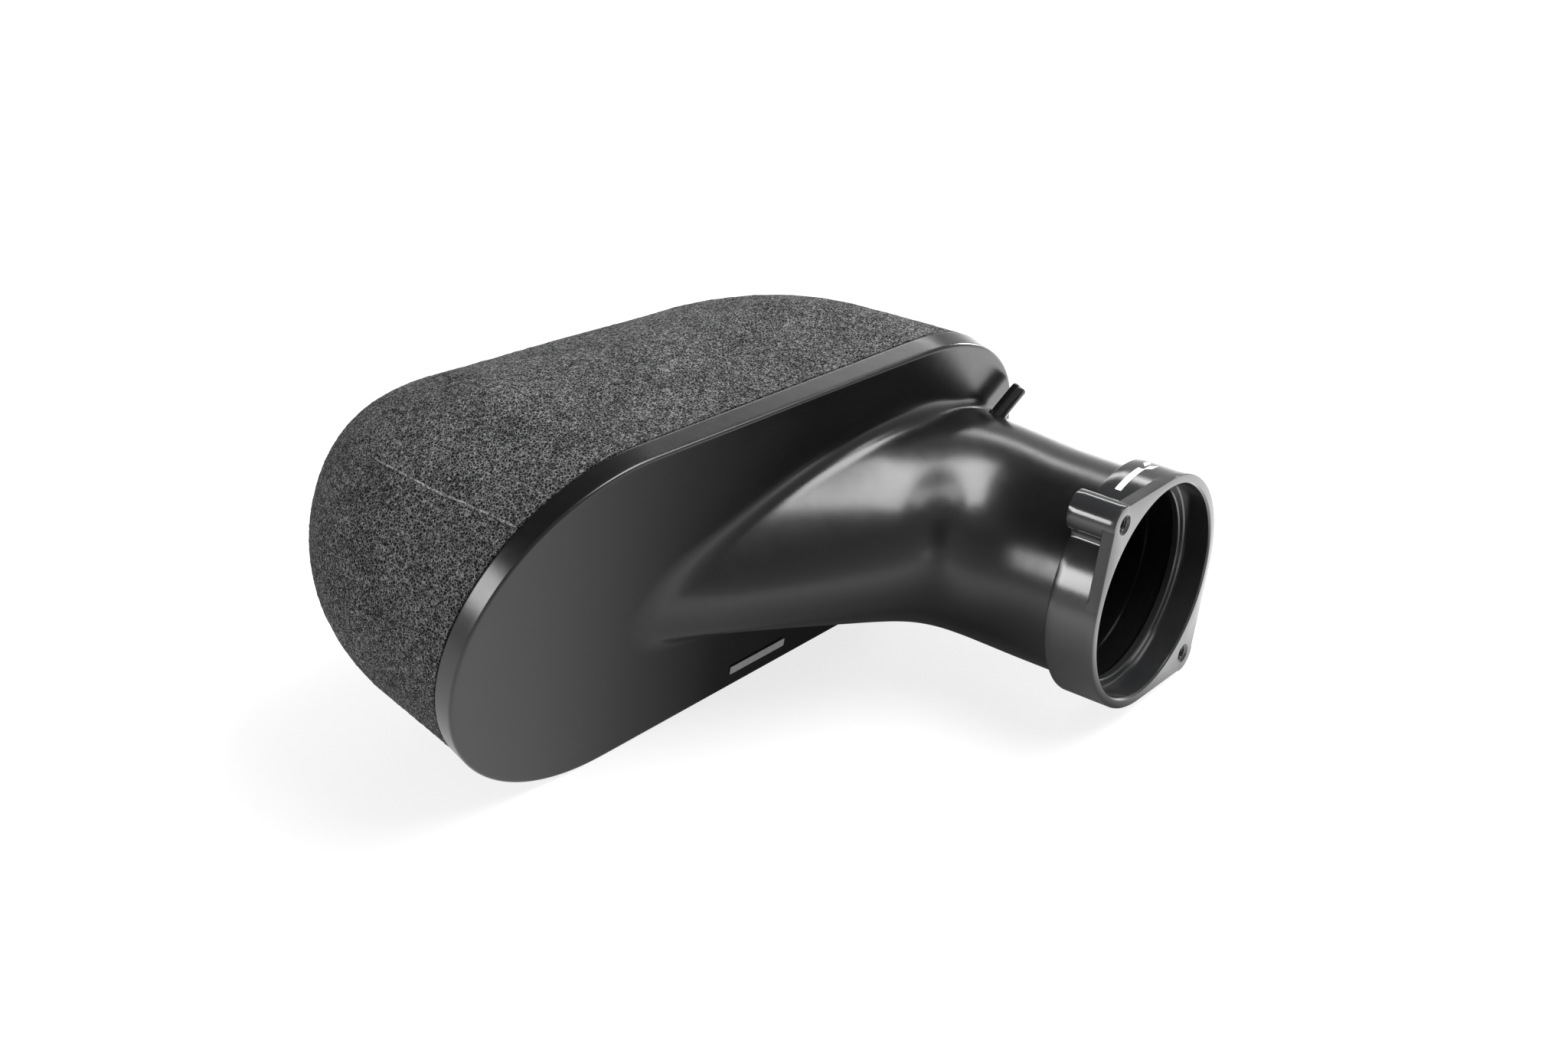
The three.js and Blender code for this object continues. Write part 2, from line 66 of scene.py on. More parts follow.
unit = lambda a: a / np.linalg.norm(a, axis=-1, keepdims=True)
smooth = lambda t: (lambda x: x * x * (3 - 2 * x))(np.clip(t, 0, 1))
dot = lambda a, b: (a * b).sum(-1)
cy, sy, cl, sl = math.cos(YAW), math.sin(YAW), math.cos(LEAN), math.sin(LEAN)
U = np.array([cy, -sy, 0.0]); V = np.array([-sy * sl, -cy * sl, cl]); M = np.array([-sy * cl, -cy * cl, -sl])
O = np.array([0.0, AXIS_LEN, 0.0])
NU = np.array([-U[1], -V[1], -M[1]])


def W(q):
    """plate coordinates (u right, v up, h out of the plate's front) to the bore frame"""
    q = np.asarray(q, float)
    return O + q[..., :1] * U + q[..., 1:2] * V + q[..., 2:3] * M


# ------------------------------------------------------------------ duct wall
D2 = np.array([-math.cos(SA) * math.cos(SB_), math.sin(SB_), -math.sin(SA) * math.cos(SB_)])
Q = NU * (HQ / NU[2])
TURN = math.acos(-float(NU @ D2)); TAN = RC * math.tan(TURN / 2)
A1 = Q + NU * TAN; A2 = Q + D2 * TAN
CB = Q + unit(NU + D2) * math.hypot(TAN, RC)
E1 = (A1 - CB) / RC; E2 = -NU
NN = unit(np.cross(NU, D2)); NN = NN if NN[1] >= 0 else -NN
L0 = (AXIS_LEN - TUBE_END) - float(A1 @ NU); SB = L0 + RC * TURN


def wall0(s, f, inset=0.0):
    s, f = np.broadcast_arrays(np.asarray(s, float), np.asarray(f, float))
    th = np.clip((s - L0) / RC, 0, TURN)[..., None]
    c = np.where((s <= L0)[..., None], A1 + NU * (L0 - s)[..., None], CB + E1 * RC * np.cos(th) + E2 * RC * np.sin(th))
    t = np.where((s <= L0)[..., None], -NU + 0 * c, E2 * np.cos(th) - E1 * np.sin(th))
    far = (s >= SB)[..., None]
    c = np.where(far, A2 + D2 * (s - SB)[..., None], c)
    t = np.where(far, D2 + 0 * c, t)
    k = smooth((s - (L0 - TL)) / (SB - L0 + 2 * TL)); k2 = np.clip((s - SB) / 110, 0, 1)
    la = TUBE_R + (LAT - TUBE_R) * k + (WIDE - LAT) * k2 * k2 - inset
    lb = TUBE_R + (RISE - TUBE_R) * k - inset
    e = np.cross(t, NN); e = np.where((dot(CB - c, e) < 0)[..., None], -e, e)
    c = c + NN * (SHIFT * k)[..., None]
    return c + e * (lb * np.cos(f))[..., None] + NN * (la * np.sin(f))[..., None]


_S = np.arange(-45.0, 305.0, 0.5); _NFT = 720
_TAB = {}


def _table(inset):
    """wall0 with its changes of curvature eased along its real length, most where the bend is tightest"""
    f = TAU * np.arange(_NFT) / _NFT
    P = wall0(_S[None, :], f[:, None], inset)
    ds = 0.5; out = np.empty_like(P)
    for i in range(_NFT):
        L = np.concatenate([[0], np.cumsum(np.linalg.norm(np.diff(P[i], axis=0), axis=1))])
        sg = 5.5 + 5.5 * ((1 + math.cos(f[i])) / 2) ** 2
        n = int(3 * sg / ds); w = np.exp(-(np.arange(-n, n + 1) * ds) ** 2 / (2 * sg * sg)); w /= w.sum()
        l = np.arange(-n, int(L[-1] / ds) + n + 1) * ds
        for c in range(3):
            q = np.interp(l, L, P[i, :, c])
            q[:n] = P[i, 0, c] + (l[:n] / (L[1] - L[0])) * (P[i, 1, c] - P[i, 0, c])
            e = int(L[-1] / ds) + n + 1
            q[e:] = P[i, -1, c] + ((l[e:] - L[-1]) / (L[-1] - L[-2])) * (P[i, -1, c] - P[i, -2, c])
            r = np.convolve(q, w, "valid")
            out[i, :, c] = np.interp(L, np.arange(len(r)) * ds, r)
    return out


def wall(s, f, inset=0.0):
    if inset not in _TAB: _TAB[inset] = _table(inset)
    T = _TAB[inset]
    s, f = np.broadcast_arrays(np.asarray(s, float), np.asarray(f, float))
    x = np.clip((s - _S[0]) / 0.5, 0, len(_S) - 1.001); i = x.astype(int); u = (x - i)[..., None]
    y = (f % TAU) / TAU * _NFT; j = y.astype(int) % _NFT; v = (y - np.floor(y))[..., None]; j1 = (j + 1) % _NFT
    return taper((T[j, i] * (1 - u) + T[j, i + 1] * u) * (1 - v) + (T[j1, i] * (1 - u) + T[j1, i + 1] * u) * v)


def taper(p):
    """the ramp narrows to a soft point at its far end, more from below than from above"""
    u, v = p[..., 0], p[..., 1]
    low = 15.0 * smooth((-32 - u) / 95) * smooth((20 - v) / 50)
    top = 9.0 * smooth((-40 - u) / 85) * smooth((v - 12) / 36)
    tip = 4.0 * smooth((-105 - u) / 45)
    return np.stack([u + tip, v + low - top, p[..., 2]], -1)


def wall_normal(s, f, inset=0.0):
    a = wall(s + 0.6, f, inset) - wall(s - 0.6, f, inset)
    b = wall(s, f + 0.012, inset) - wall(s, f - 0.012, inset)
    n = unit(np.cross(a, b)); mid = (wall(s, f, inset) + wall(s, f + math.pi, inset)) / 2
    return np.where((dot(wall(s, f, inset) - mid, n) < 0)[..., None], -n, n)


def hit(test, n):
    lo = np.full(n, 10.0); hi = lo.copy(); live = np.ones(n, bool)
    for _ in range(150):
        live &= (test(hi) > 0) & (hi < 290)
        if not live.any(): break
        lo = np.where(live, hi, lo); hi = np.where(live, hi + 2, hi)
    for _ in range(26):
        m = (lo + hi) / 2; up = test(m) > 0
        lo = np.where(up, m, lo); hi = np.where(up, hi, m)
    return lo


def foot(f, rad):
    s = hit(lambda x: (wall(x, f) + wall_normal(x, f) * np.reshape(rad, (-1, 1)))[..., 2] - rad, len(f))
    n = wall_normal(s, f); c = wall(s, f) + n * np.reshape(rad, (-1, 1))
    return s, n, c


def hull(p):
    p = sorted(map(tuple, p))
    def half(ps):
        h = []
        for q in ps:
            while len(h) > 1 and (h[-1][0] - h[-2][0]) * (q[1] - h[-2][1]) - (h[-1][1] - h[-2][1]) * (q[0] - h[-2][0]) <= 0: h.pop()
            h.append(q)
        h.pop(); return h
    return np.array(half(p) + half(p[::-1]))


DENSE = 720
fd = TAU * np.arange(DENSE) / DENSE
s_d, n_d, c_d = foot(fd, np.full(DENSE, FILLET))
circ = lambda c, k=360: np.array([[c[0] + c[2] * math.cos(TAU * i / k), c[1] + c[2] * math.sin(TAU * i / k)] for i in range(k)])
_mid = np.array([-60.0, 8.0]); _k = c_d[:, :2]; _kk = _k + unit(_k - _mid) * (EDGE_R + 0.7)
EDGE = hull(np.concatenate([circ(CL), circ(CR), circ(CT), _kk]))
# resample evenly and ease the corners where the arcs meet the straight runs
_seg = np.linalg.norm(np.roll(EDGE, -1, 0) - EDGE, axis=1); _cu = np.concatenate([[0], np.cumsum(_seg)])
NE = 1440
_t = np.arange(NE) * _cu[-1] / NE
_ec = np.concatenate([EDGE, EDGE[:1]])
EDGE = np.stack([np.interp(_t, _cu, _ec[:, 0]), np.interp(_t, _cu, _ec[:, 1])], 1)
_w = np.exp(-np.arange(-14, 15) ** 2 / (2 * 5.0 ** 2)); _w /= _w.sum()
EDGE = sum(w * np.roll(EDGE, -i, 0) for i, w in zip(range(-14, 15), _w))
SEG_A, SEG_B = np.array([-112.0, 14.0]), np.array([-4.0, 2.0])


def on_seg(p, a, b):
    d = b - a
    return np.clip(((p - a) @ d) / (d @ d), 0, 1)


def cast(p):
    """from the skeleton through each p to the outline"""
    out = np.zeros_like(p)
    a, b = EDGE, np.roll(EDGE, -1, 0); e = b - a
    for i, q in enumerate(p):
        w = on_seg(q, SEG_A, SEG_B); o = SEG_A + (SEG_B - SEG_A) * w; d = q - o
        den = d[0] * e[:, 1] - d[1] * e[:, 0]; den = np.where(np.abs(den) < 1e-12, 1e-12, den)
        ao = a - o
        t = (ao[:, 0] * e[:, 1] - ao[:, 1] * e[:, 0]) / den; r = (ao[:, 0] * d[1] - ao[:, 1] * d[0]) / den
        ok = (t > 0) & (r >= -1e-6) & (r <= 1 + 1e-6)
        out[i] = o + d * t[ok].max()
    return out


# ------------------------------------------------------------------ mesh helpers
def face_out(bm):
    """all faces alike, and pointing out of the solid"""
    bmesh.ops.recalc_face_normals(bm, faces=bm.faces)
    if bm.calc_volume(signed=True) < 0: bmesh.ops.reverse_faces(bm, faces=bm.faces)


def make(name, verts, faces, node=None, sharp=None, merge=2e-3, mat=None):
    me = bpy.data.meshes.new(name)
    me.from_pydata(((np.asarray(verts, float) + POS) / 1000).tolist(), [], [tuple(int(i) for i in f) for f in faces])
    bm = bmesh.new(); bm.from_mesh(me)
    bmesh.ops.remove_doubles(bm, verts=bm.verts, dist=merge / 1000)
    bmesh.ops.dissolve_degenerate(bm, dist=merge / 1000, edges=bm.edges)
    face_out(bm)
    bm.to_mesh(me); bm.free()
    me.shade_smooth()
    if sharp: me.set_sharp_from_angle(angle=math.radians(sharp))
    ob = bpy.data.objects.new(name, me); SC.collection.objects.link(ob)
    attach(ob, "root")
    if node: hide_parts(*([node] if isinstance(node, str) else node))
    if mat: me.materials.append(mat)
    return ob


def grid(loops, wrap=False, cap0=False, cap1=False):
    """closed rings joined one to the next; wrap joins the last back to the first; caps zip a ring shut"""
    m, n = len(loops), len(loops[0])
    v = np.concatenate(loops); f = []
    j = np.arange(n); j1 = (j + 1) % n
    for i in range(m if wrap else m - 1):
        a, b = i * n, ((i + 1) % m) * n
        f += np.stack([a + j, a + j1, b + j1, b + j], 1).tolist()
    for on, base in ((cap0, 0), (cap1, (m - 1) * n)):
        if not on: continue
        for q in range(n // 2):
            a, b, c, d = base + q, base + q + 1, base + (n - q - 1) % n, base + (n - q) % n
            k = []
            for x in (a, b, c, d):
                if x not in k: k.append(x)
            if len(k) > 2: f.append(k)
    return v, f


def cut(ob, cutter):
    md = ob.modifiers.new("cut", "BOOLEAN"); md.operation = "DIFFERENCE"; md.object = cutter
    md.solver = "MANIFOLD"
    dg = bpy.context.evaluated_depsgraph_get()
    new = bpy.data.meshes.new_from_object(ob.evaluated_get(dg))
    if len(new.polygons) < 100:
        bpy.data.meshes.remove(new); md.solver = "EXACT"
        dg = bpy.context.evaluated_depsgraph_get(); new = bpy.data.meshes.new_from_object(ob.evaluated_get(dg))
    ob.modifiers.clear(); old = ob.data; ob.data = new; bpy.data.meshes.remove(old)
    bpy.data.objects.remove(cutter)


# ------------------------------------------------------------------ duct moulding
def outward_of(g):
    t = np.roll(g, -1, 0) - np.roll(g, 1, 0); n = unit(np.stack([t[:, 1], -t[:, 0]], 1))
    return np.where((dot(n, g - np.array([-80.0, 15.0])) < 0)[:, None], -n, n)


NR = 480
# blend radius: tight along the scoop's upper crease, opening out where the ramp fades into the plate
_fade = np.clip((s_d - s_d.min()) / (s_d.max() - s_d.min()), 0, 1)
_fdeg = np.degrees(fd)
_rad = FILLET + 4.6 * smooth((104.0 - _fdeg) / 30.0) * (_fdeg < 180) + smooth((_fade - 0.62) / 0.38) * (5.0 + 7.0 * np.where(_fdeg > 180, smooth((_fdeg - 290) / 60), smooth((40 - _fdeg) / 40))) + 4.6 * smooth((_fdeg - 318.0) / 30.0)
s_v, n_v, c_v = foot(fd, _rad)
g_v = cast(c_v[:, :2])
_len = np.linalg.norm(np.roll(c_v, -1, 0) - c_v, axis=1) + 1.3 * np.linalg.norm(np.roll(g_v, -1, 0) - g_v, axis=1)
_cum = np.concatenate([[0], np.cumsum(_len)])
f_r = np.interp(np.arange(NR) * _cum[-1] / NR, _cum, np.concatenate([fd, [TAU]]))
rad_r = np.interp(f_r, np.concatenate([fd, [TAU]]), np.concatenate([_rad, _rad[:1]]))
s_r, n_r, c_r = foot(f_r, rad_r)
g_r = cast(c_r[:, :2]); o_r = outward_of(g_r)
off = lambda d, h: W(np.concatenate([g_r - o_r * d, np.full((NR, 1), h)], 1))


def arc(a, b, t):
    """turn unit vectors a to b"""
    ang = np.arccos(np.clip(dot(a, b), -1, 1))[:, None]; s = np.maximum(np.sin(ang), 1e-6)
    return np.where(ang < 1e-4, b, a * np.sin((1 - t) * ang) / s + b * np.sin(t * ang) / s)


def duct_loops():
    L = []
    steps = 96
    for i in range(steps + 1):
        t = i / steps; w = 0.62 * t + 0.38 * t ** 3
        s = s_r * (1.0 if i == steps else w)
        if i == 0: L.append(W(wall0(s, f_r, 0.4)))
        L.append(W(wall0(np.full(NR, 0.4), f_r)) if i == 0 else W(wall(s, f_r)))
    down = np.tile([0.0, 0.0, -1.0], (NR, 1))
    for i in range(1, 11): L.append(W(c_r + arc(-n_r, down, i / 10) * rad_r[:, None]))
    k = c_r[:, :2]; e = g_r - o_r * EDGE_R
    for t in (0.03, 0.12, 0.3, 0.5, 0.7, 0.88, 0.97):
        L.append(W(np.concatenate([k + (e - k) * t, np.zeros((NR, 1))], 1)))
    for i in range(9):
        t = i / 8 * math.pi / 2; L.append(off(EDGE_R * (1 - math.sin(t)), -EDGE_R * (1 - math.cos(t))))
    for h in (2.2, 4.0, 5.8, SKIRT - 1.3): L.append(off(0, -h))
    r = 0.9
    for i in range(7):
        t = i / 6 * math.pi / 2; L.append(off(r * (1 - math.cos(t)), -(SKIRT - r + r * math.sin(t))))
    L.append(off(SKIRT_T - 0.3, -SKIRT)); L.append(off(SKIRT_T, -SKIRT + 0.3))
    for h in (7.4, 5.8, BASE_T + 1.2): L.append(off(SKIRT_T, -h))
    for i in range(5):
        t = i / 4 * math.pi / 2; L.append(off(SKIRT_T + 1.0 * (1 - math.cos(t)), -(BASE_T + 1.0 - 1.0 * math.sin(t))))
    s_in = hit(lambda x: wall(x, f_r, WALL_IN)[..., 2] + BASE_T, NR)
    rim = W(np.where([1, 1, 0], wall(s_in, f_r, WALL_IN), 0) + [0, 0, -BASE_T])
    edge = off(SKIRT_T + 1.0, -BASE_T)
    for t in (0.5, 0.9): L.append(edge + (rim - edge) * t)
    back = 52
    for i in range(back, -1, -1): L.append(W(wall(SHOULDER + (s_in - SHOULDER) * i / back, f_r, WALL_IN)))
    for q in (SHOULDER, 5.0, 0.4): L.append(W(wall0(np.full(NR, q), f_r, WALL)))
    L.append(W(wall0(np.zeros(NR), f_r, WALL + 0.4)))
    return L


NIP_A = np.array([19.0, 30.2, 5.2]); NIP_D = np.array([1.0, 1.0, 0.0]) / math.sqrt(2); NIP_L = 24.5


def lathe(profile, n=48, close=True):
    """profile of (radius, length) along the breather's axis, turned about it"""
    a = W(NIP_A); d = unit(W(NIP_A + NIP_D) - a); e = unit(np.cross(d, M)); g = np.cross(d, e)
    th = TAU * np.arange(n) / n
    ring = lambda r, l: a + d * l + r * (np.cos(th)[:, None] * e + np.sin(th)[:, None] * g)
    return grid([ring(r, l) for r, l in profile], wrap=close)


# ------------------------------------------------------------------ flange outline
PSI = math.atan2(LUG_Z, -LUG_X); LC = math.hypot(LUG_X, LUG_Z)
BETA = math.acos((RING_R - LUG_R) / LC); PHI1 = math.atan2(LUG_R * math.sin(BETA), LC + LUG_R * math.cos(BETA))


def plate_r(p):
    p = np.abs((p + math.pi / 2) % math.pi - math.pi / 2)
    lug = LC * np.cos(p) + np.sqrt(np.maximum(LUG_R ** 2 - (LC * np.sin(p)) ** 2, 0))
    return np.where(p < PHI1, lug, np.where(p < BETA, RING_R / np.cos(np.clip(BETA - p, 0, 1)), RING_R))


def ring_outline():
    """one quarter, from the lug's crown round the boss, the concave root and the ring, then mirrored and turned"""
    rf = 2.4; a = RING_R + rf; b = BOSS_R + rf
    al = math.acos((a * a + LC * LC - b * b) / (2 * a * LC)); F = np.array([a * math.cos(al), a * math.sin(al)])
    B = np.array([LC, 0.0]); t1 = math.atan2(*(F - B)[::-1]); t2 = math.atan2(*(B - F)[::-1])
    q = [B + BOSS_R * np.array([math.cos(t), math.sin(t)]) for t in np.linspace(0, t1, 29)[:-1]]
    q += [F + rf * np.array([math.cos(t), math.sin(t)]) for t in np.linspace(t2, al - math.pi, 15)[:-1]]
    q += [RING_R * np.array([math.cos(t), math.sin(t)]) for t in np.linspace(al, math.pi / 2, 84)]
    q = np.array(q); h = np.concatenate([q[:-1], (q * [-1, 1])[::-1][:-1]])
    full = np.concatenate([h, -h]); c, s = math.cos(PSI), math.sin(PSI)
    return full @ np.array([[c, s], [-s, c]])


RO = ring_outline(); NF = len(RO)
_ph = np.unwrap(np.arctan2(RO[:, 1], RO[:, 0])); _ph = np.maximum.accumulate(_ph)
# the concave root folds back a little in angle; spread the steps so that each one moves on
_dp = np.diff(np.concatenate([_ph, [_ph[0] + TAU]])); _kw = np.exp(-np.arange(-12, 13) ** 2 / 50.0); _kw /= _kw.sum()
_dp = sum(w * np.roll(_dp, i) for i, w in zip(range(-12, 13), _kw)); _ph = _ph[0] + np.concatenate([[0], np.cumsum(_dp)[:-1]])
PO = np.stack([np.cos(_ph), np.sin(_ph)], 1) * plate_r(_ph - PSI)[:, None]


def normals2(p):
    t = np.roll(p, -1, 0) - np.roll(p, 1, 0); l = np.linalg.norm(t, axis=1, keepdims=True)
    return np.stack([t[:, 1], -t[:, 0]], 1) / np.maximum(l, 1e-9)


_gap = np.linalg.norm(PO, axis=1) - np.linalg.norm(RO, axis=1)
PO = np.where((_gap < 0.03)[:, None], RO, PO); _lip = np.clip(_gap / 0.6, 0, 1)[:, None] * (_gap >= 0.03)[:, None]
PN, RN = normals2(PO), normals2(RO)
# where the plate's edge runs flush with the ring the two outlines share one normal
at = lambda p, y: np.stack([p[:, 0], np.full(len(p), y), p[:, 1]], 1)


def round_loop(r, y, n=None, x=0.0, z=0.0, ph=None):
    th = (TAU * np.arange(n) / n) if ph is None else ph
    return np.stack([x + r * np.cos(th), np.full(len(th), float(y)) if np.ndim(y) == 0 else y, z + r * np.sin(th)], 1)


def flange_mesh():
    verts, faces, base = [], [], 0
    def put(loops):
        nonlocal base
        v, f = grid(loops); verts.append(v); faces.extend([[i + base for i in q] for q in f]); base += len(v)
    c = 0.55
    outer = [at(PO - PN * c * (1 - math.sin(t)), c * (1 - math.cos(t))) for t in np.linspace(0, math.pi / 2, 4)]
    outer += [at(PO, 2.6), at(PO, PLATE_T - 0.25), at(PO - PN * 0.25 * _lip, PLATE_T), at(RO, PLATE_T)]
    outer += [at(RO, y) for y in (PLATE_T + 0.3, 8.0, 12.0, 16.0, RING_L - 0.5)]
    outer += [at(RO - RN * 0.5 * (1 - math.cos(t)), RING_L - 0.5 + 0.5 * math.sin(t)) for t in (0.52, 1.05, math.pi / 2)]
    ph = _ph
    inner = [round_loop(RING_REAR_R + 0.3, RING_L, ph=ph), round_loop(RING_REAR_R, RING_L - 0.3, ph=ph), round_loop(RING_REAR_R, WEB_BACK, ph=ph),
             round_loop(WEB_R + 0.35, WEB_BACK, ph=ph), round_loop(WEB_R, WEB_BACK - 0.35, ph=ph), round_loop(WEB_R, BORE_DEPTH + 0.45, ph=ph),
             round_loop(WEB_R + 0.45, BORE_DEPTH, ph=ph), round_loop(BORE_R - 0.5, BORE_DEPTH, ph=ph), round_loop(BORE_R, BORE_DEPTH - 0.5, ph=ph),
             round_loop(BORE_R, 6, ph=ph), round_loop(BORE_R, 0.7, ph=ph), round_loop(BORE_R + 0.3, 0.3, ph=ph), round_loop(BORE_R + 0.7, 0, ph=ph)]
    put(outer + inner)
    n0 = 0; n1 = len(outer + inner) * NF - NF  # first and last loops lie in the front face
    rims = [list(range(0, NF)), list(range(n1, n1 + NF))]
    nt = 64
    th = TAU * np.arange(nt) / nt
    for s in (-1, 1):
        x, z = s * LUG_X, -s * LUG_Z
        hole = [round_loop(BOLT_R + 0.75, 0, nt, x, z), round_loop(BOLT_R + 0.1, 0.65, nt, x, z)]
        pitch, minor = 1.0, BOLT_R - 0.42
        for y in np.arange(0.9, 13.0, 0.125):
            k = (y / pitch - th / TAU) % 1.0
            r = minor + 0.48 * np.clip(1 - np.abs(k - 0.5) * 2.15, 0, 1)
            hole.append(np.stack([x + r * np.cos(th), np.full(nt, y), z + r * np.sin(th)], 1))
        hole += [round_loop(minor, 13.3, nt, x, z), round_loop(minor, 15.2, nt, x, z), round_loop(minor * 0.3, 15.9, nt, x, z)]
        v, f = grid(hole, cap1=True)
        rims.append([base + i for i in range(nt)])
        verts.append(v); faces.extend([[i + base for i in q] for q in f]); base += len(v)
    return np.concatenate(verts), faces, rims


def make_flange(mat):
    v, f, rims = flange_mesh()
    me = bpy.data.meshes.new("outlet_flange_body")
    me.from_pydata(((v + POS) / 1000).tolist(), [], [tuple(q) for q in f])
    bm = bmesh.new(); bm.from_mesh(me); bm.verts.ensure_lookup_table()
    ids = [i for r in rims for i in r]; pts = [Vector((v[i][0], v[i][2])) for i in ids]; es, k = [], 0
    for r in rims: es += [(k + i, k + (i + 1) % len(r)) for i in range(len(r))]; k += len(r)
    co, _, tri, orig, _, _ = geometry.delaunay_2d_cdt(pts, es, [], 1, 1e-4)
    outline = v[rims[0]][:, [0, 2]]; o2 = np.roll(outline, -1, 0)
    for t in tri:
        c = sum((co[i] for i in t), Vector((0, 0))) / 3
        if math.hypot(c.x, c.y) < BORE_R + 0.7 or any(math.hypot(c.x - q * LUG_X, c.y + q * LUG_Z) < BOLT_R + 0.74 for q in (-1, 1)): continue
        x = (outline[:, 1] > c.y) != (o2[:, 1] > c.y); xs = outline[:, 0] + (c.y - outline[:, 1]) / np.where(x, o2[:, 1] - outline[:, 1], 1) * (o2[:, 0] - outline[:, 0])
        if (x & (xs > c.x)).sum() % 2 == 0: continue
        q = [bm.verts[ids[orig[i][0]]] for i in t]
        if len(set(q)) == 3 and bm.faces.get(q) is None: bm.faces.new(q)
    bmesh.ops.remove_doubles(bm, verts=bm.verts, dist=2e-6)
    bmesh.ops.dissolve_degenerate(bm, dist=2e-6, edges=bm.edges)
    face_out(bm)
    bm.to_mesh(me); bm.free(); me.shade_smooth(); me.set_sharp_from_angle(angle=math.radians(24))
    ob = bpy.data.objects.new("outlet_flange_body", me); SC.collection.objects.link(ob)
    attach(ob, "root"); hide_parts("outlet_flange"); me.materials.append(mat)
    return ob


# ------------------------------------------------------------------ foam dome
cL0, cR0 = np.array(CL[:2]), np.array(CR[:2])


def dome_dirs(n):
    seg = np.linalg.norm(np.roll(EDGE, -1, 0) - EDGE, axis=1); cu = np.concatenate([[0], np.cumsum(seg)])
    k0 = int(np.argmin(EDGE[:, 0]))                      # start at the far left tip
    t = (np.arange(n) * cu[-1] / n + cu[k0]) % cu[-1]
    ec = np.concatenate([EDGE, EDGE[:1]])
    g = np.stack([np.interp(t, cu, ec[:, 0]), np.interp(t, cu, ec[:, 1])], 1)
    w = on_seg(g, cL0, cR0); w = np.convolve(np.concatenate([w[-12:], w, w[:12]]), np.ones(9) / 9, "same")[12:-12]
    c = cL0 + (cR0 - cL0) * w[:, None]; d = g - c; r = np.linalg.norm(d, axis=1)
    return w, d / r[:, None], r


def dome_point(w, d2, r, k, inset, d0):
    D = D_DEPTH - inset; flat = D_DEPTH - D_EA; t0 = 0.34
    if k < t0: d = d0 + (flat - d0) * k / t0; c = 1.0
    else: t = (k - t0) / (1 - t0) * math.pi / 2; d = flat + (D - flat) * math.sin(t); c = math.cos(t)
    s = max(0.0, (d - SKIRT) / (D_DEPTH - SKIRT)); w = np.asarray(w, float); wc = w[..., None]
    ctr = np.array([CL[0] - D_AL * s, CL[1] + D_B * s]) * (1 - wc) + np.array([CR[0] + D_AR * s, CR[1] + D_B * s]) * wc
    rr = (r - inset + ((D_RL - CL[2]) * (1 - w) + (D_RR - CR[2]) * w) * s) * c
    p = ctr + d2 * rr[..., None]
    return np.concatenate([p, np.full(p.shape[:-1] + (1,), -d)], -1)


# the left shoulder of the foam stands a little fuller than a plain dome and its top a little flatter: centre, shift, width
FOAM_FIT = (((-184.8, 44.8, -108.0), (-0.70, 1.00, -2.18), 20.0), ((-48.8, 52.8, -96.7), (-0.30, -1.34, 1.45), 34.0))


def foam_point(w, d2, r, k, inset, d0):
    q = dome_point(w, d2, r, k, inset, d0); o = np.zeros_like(q)
    for c, v, s in FOAM_FIT: o += np.array(v) * np.exp(-((q - np.array(c)) ** 2).sum(-1) / (2 * s * s))[..., None]
    return q + o * smooth((-q[..., 2:] - 14.0) / 34.0) * max(0.0, 1.0 - inset / 12.4)   # nothing moves on the cage side


def seam_angle(k): return math.radians(127.3 + 6.7 * (k - 0.01) / 0.49)


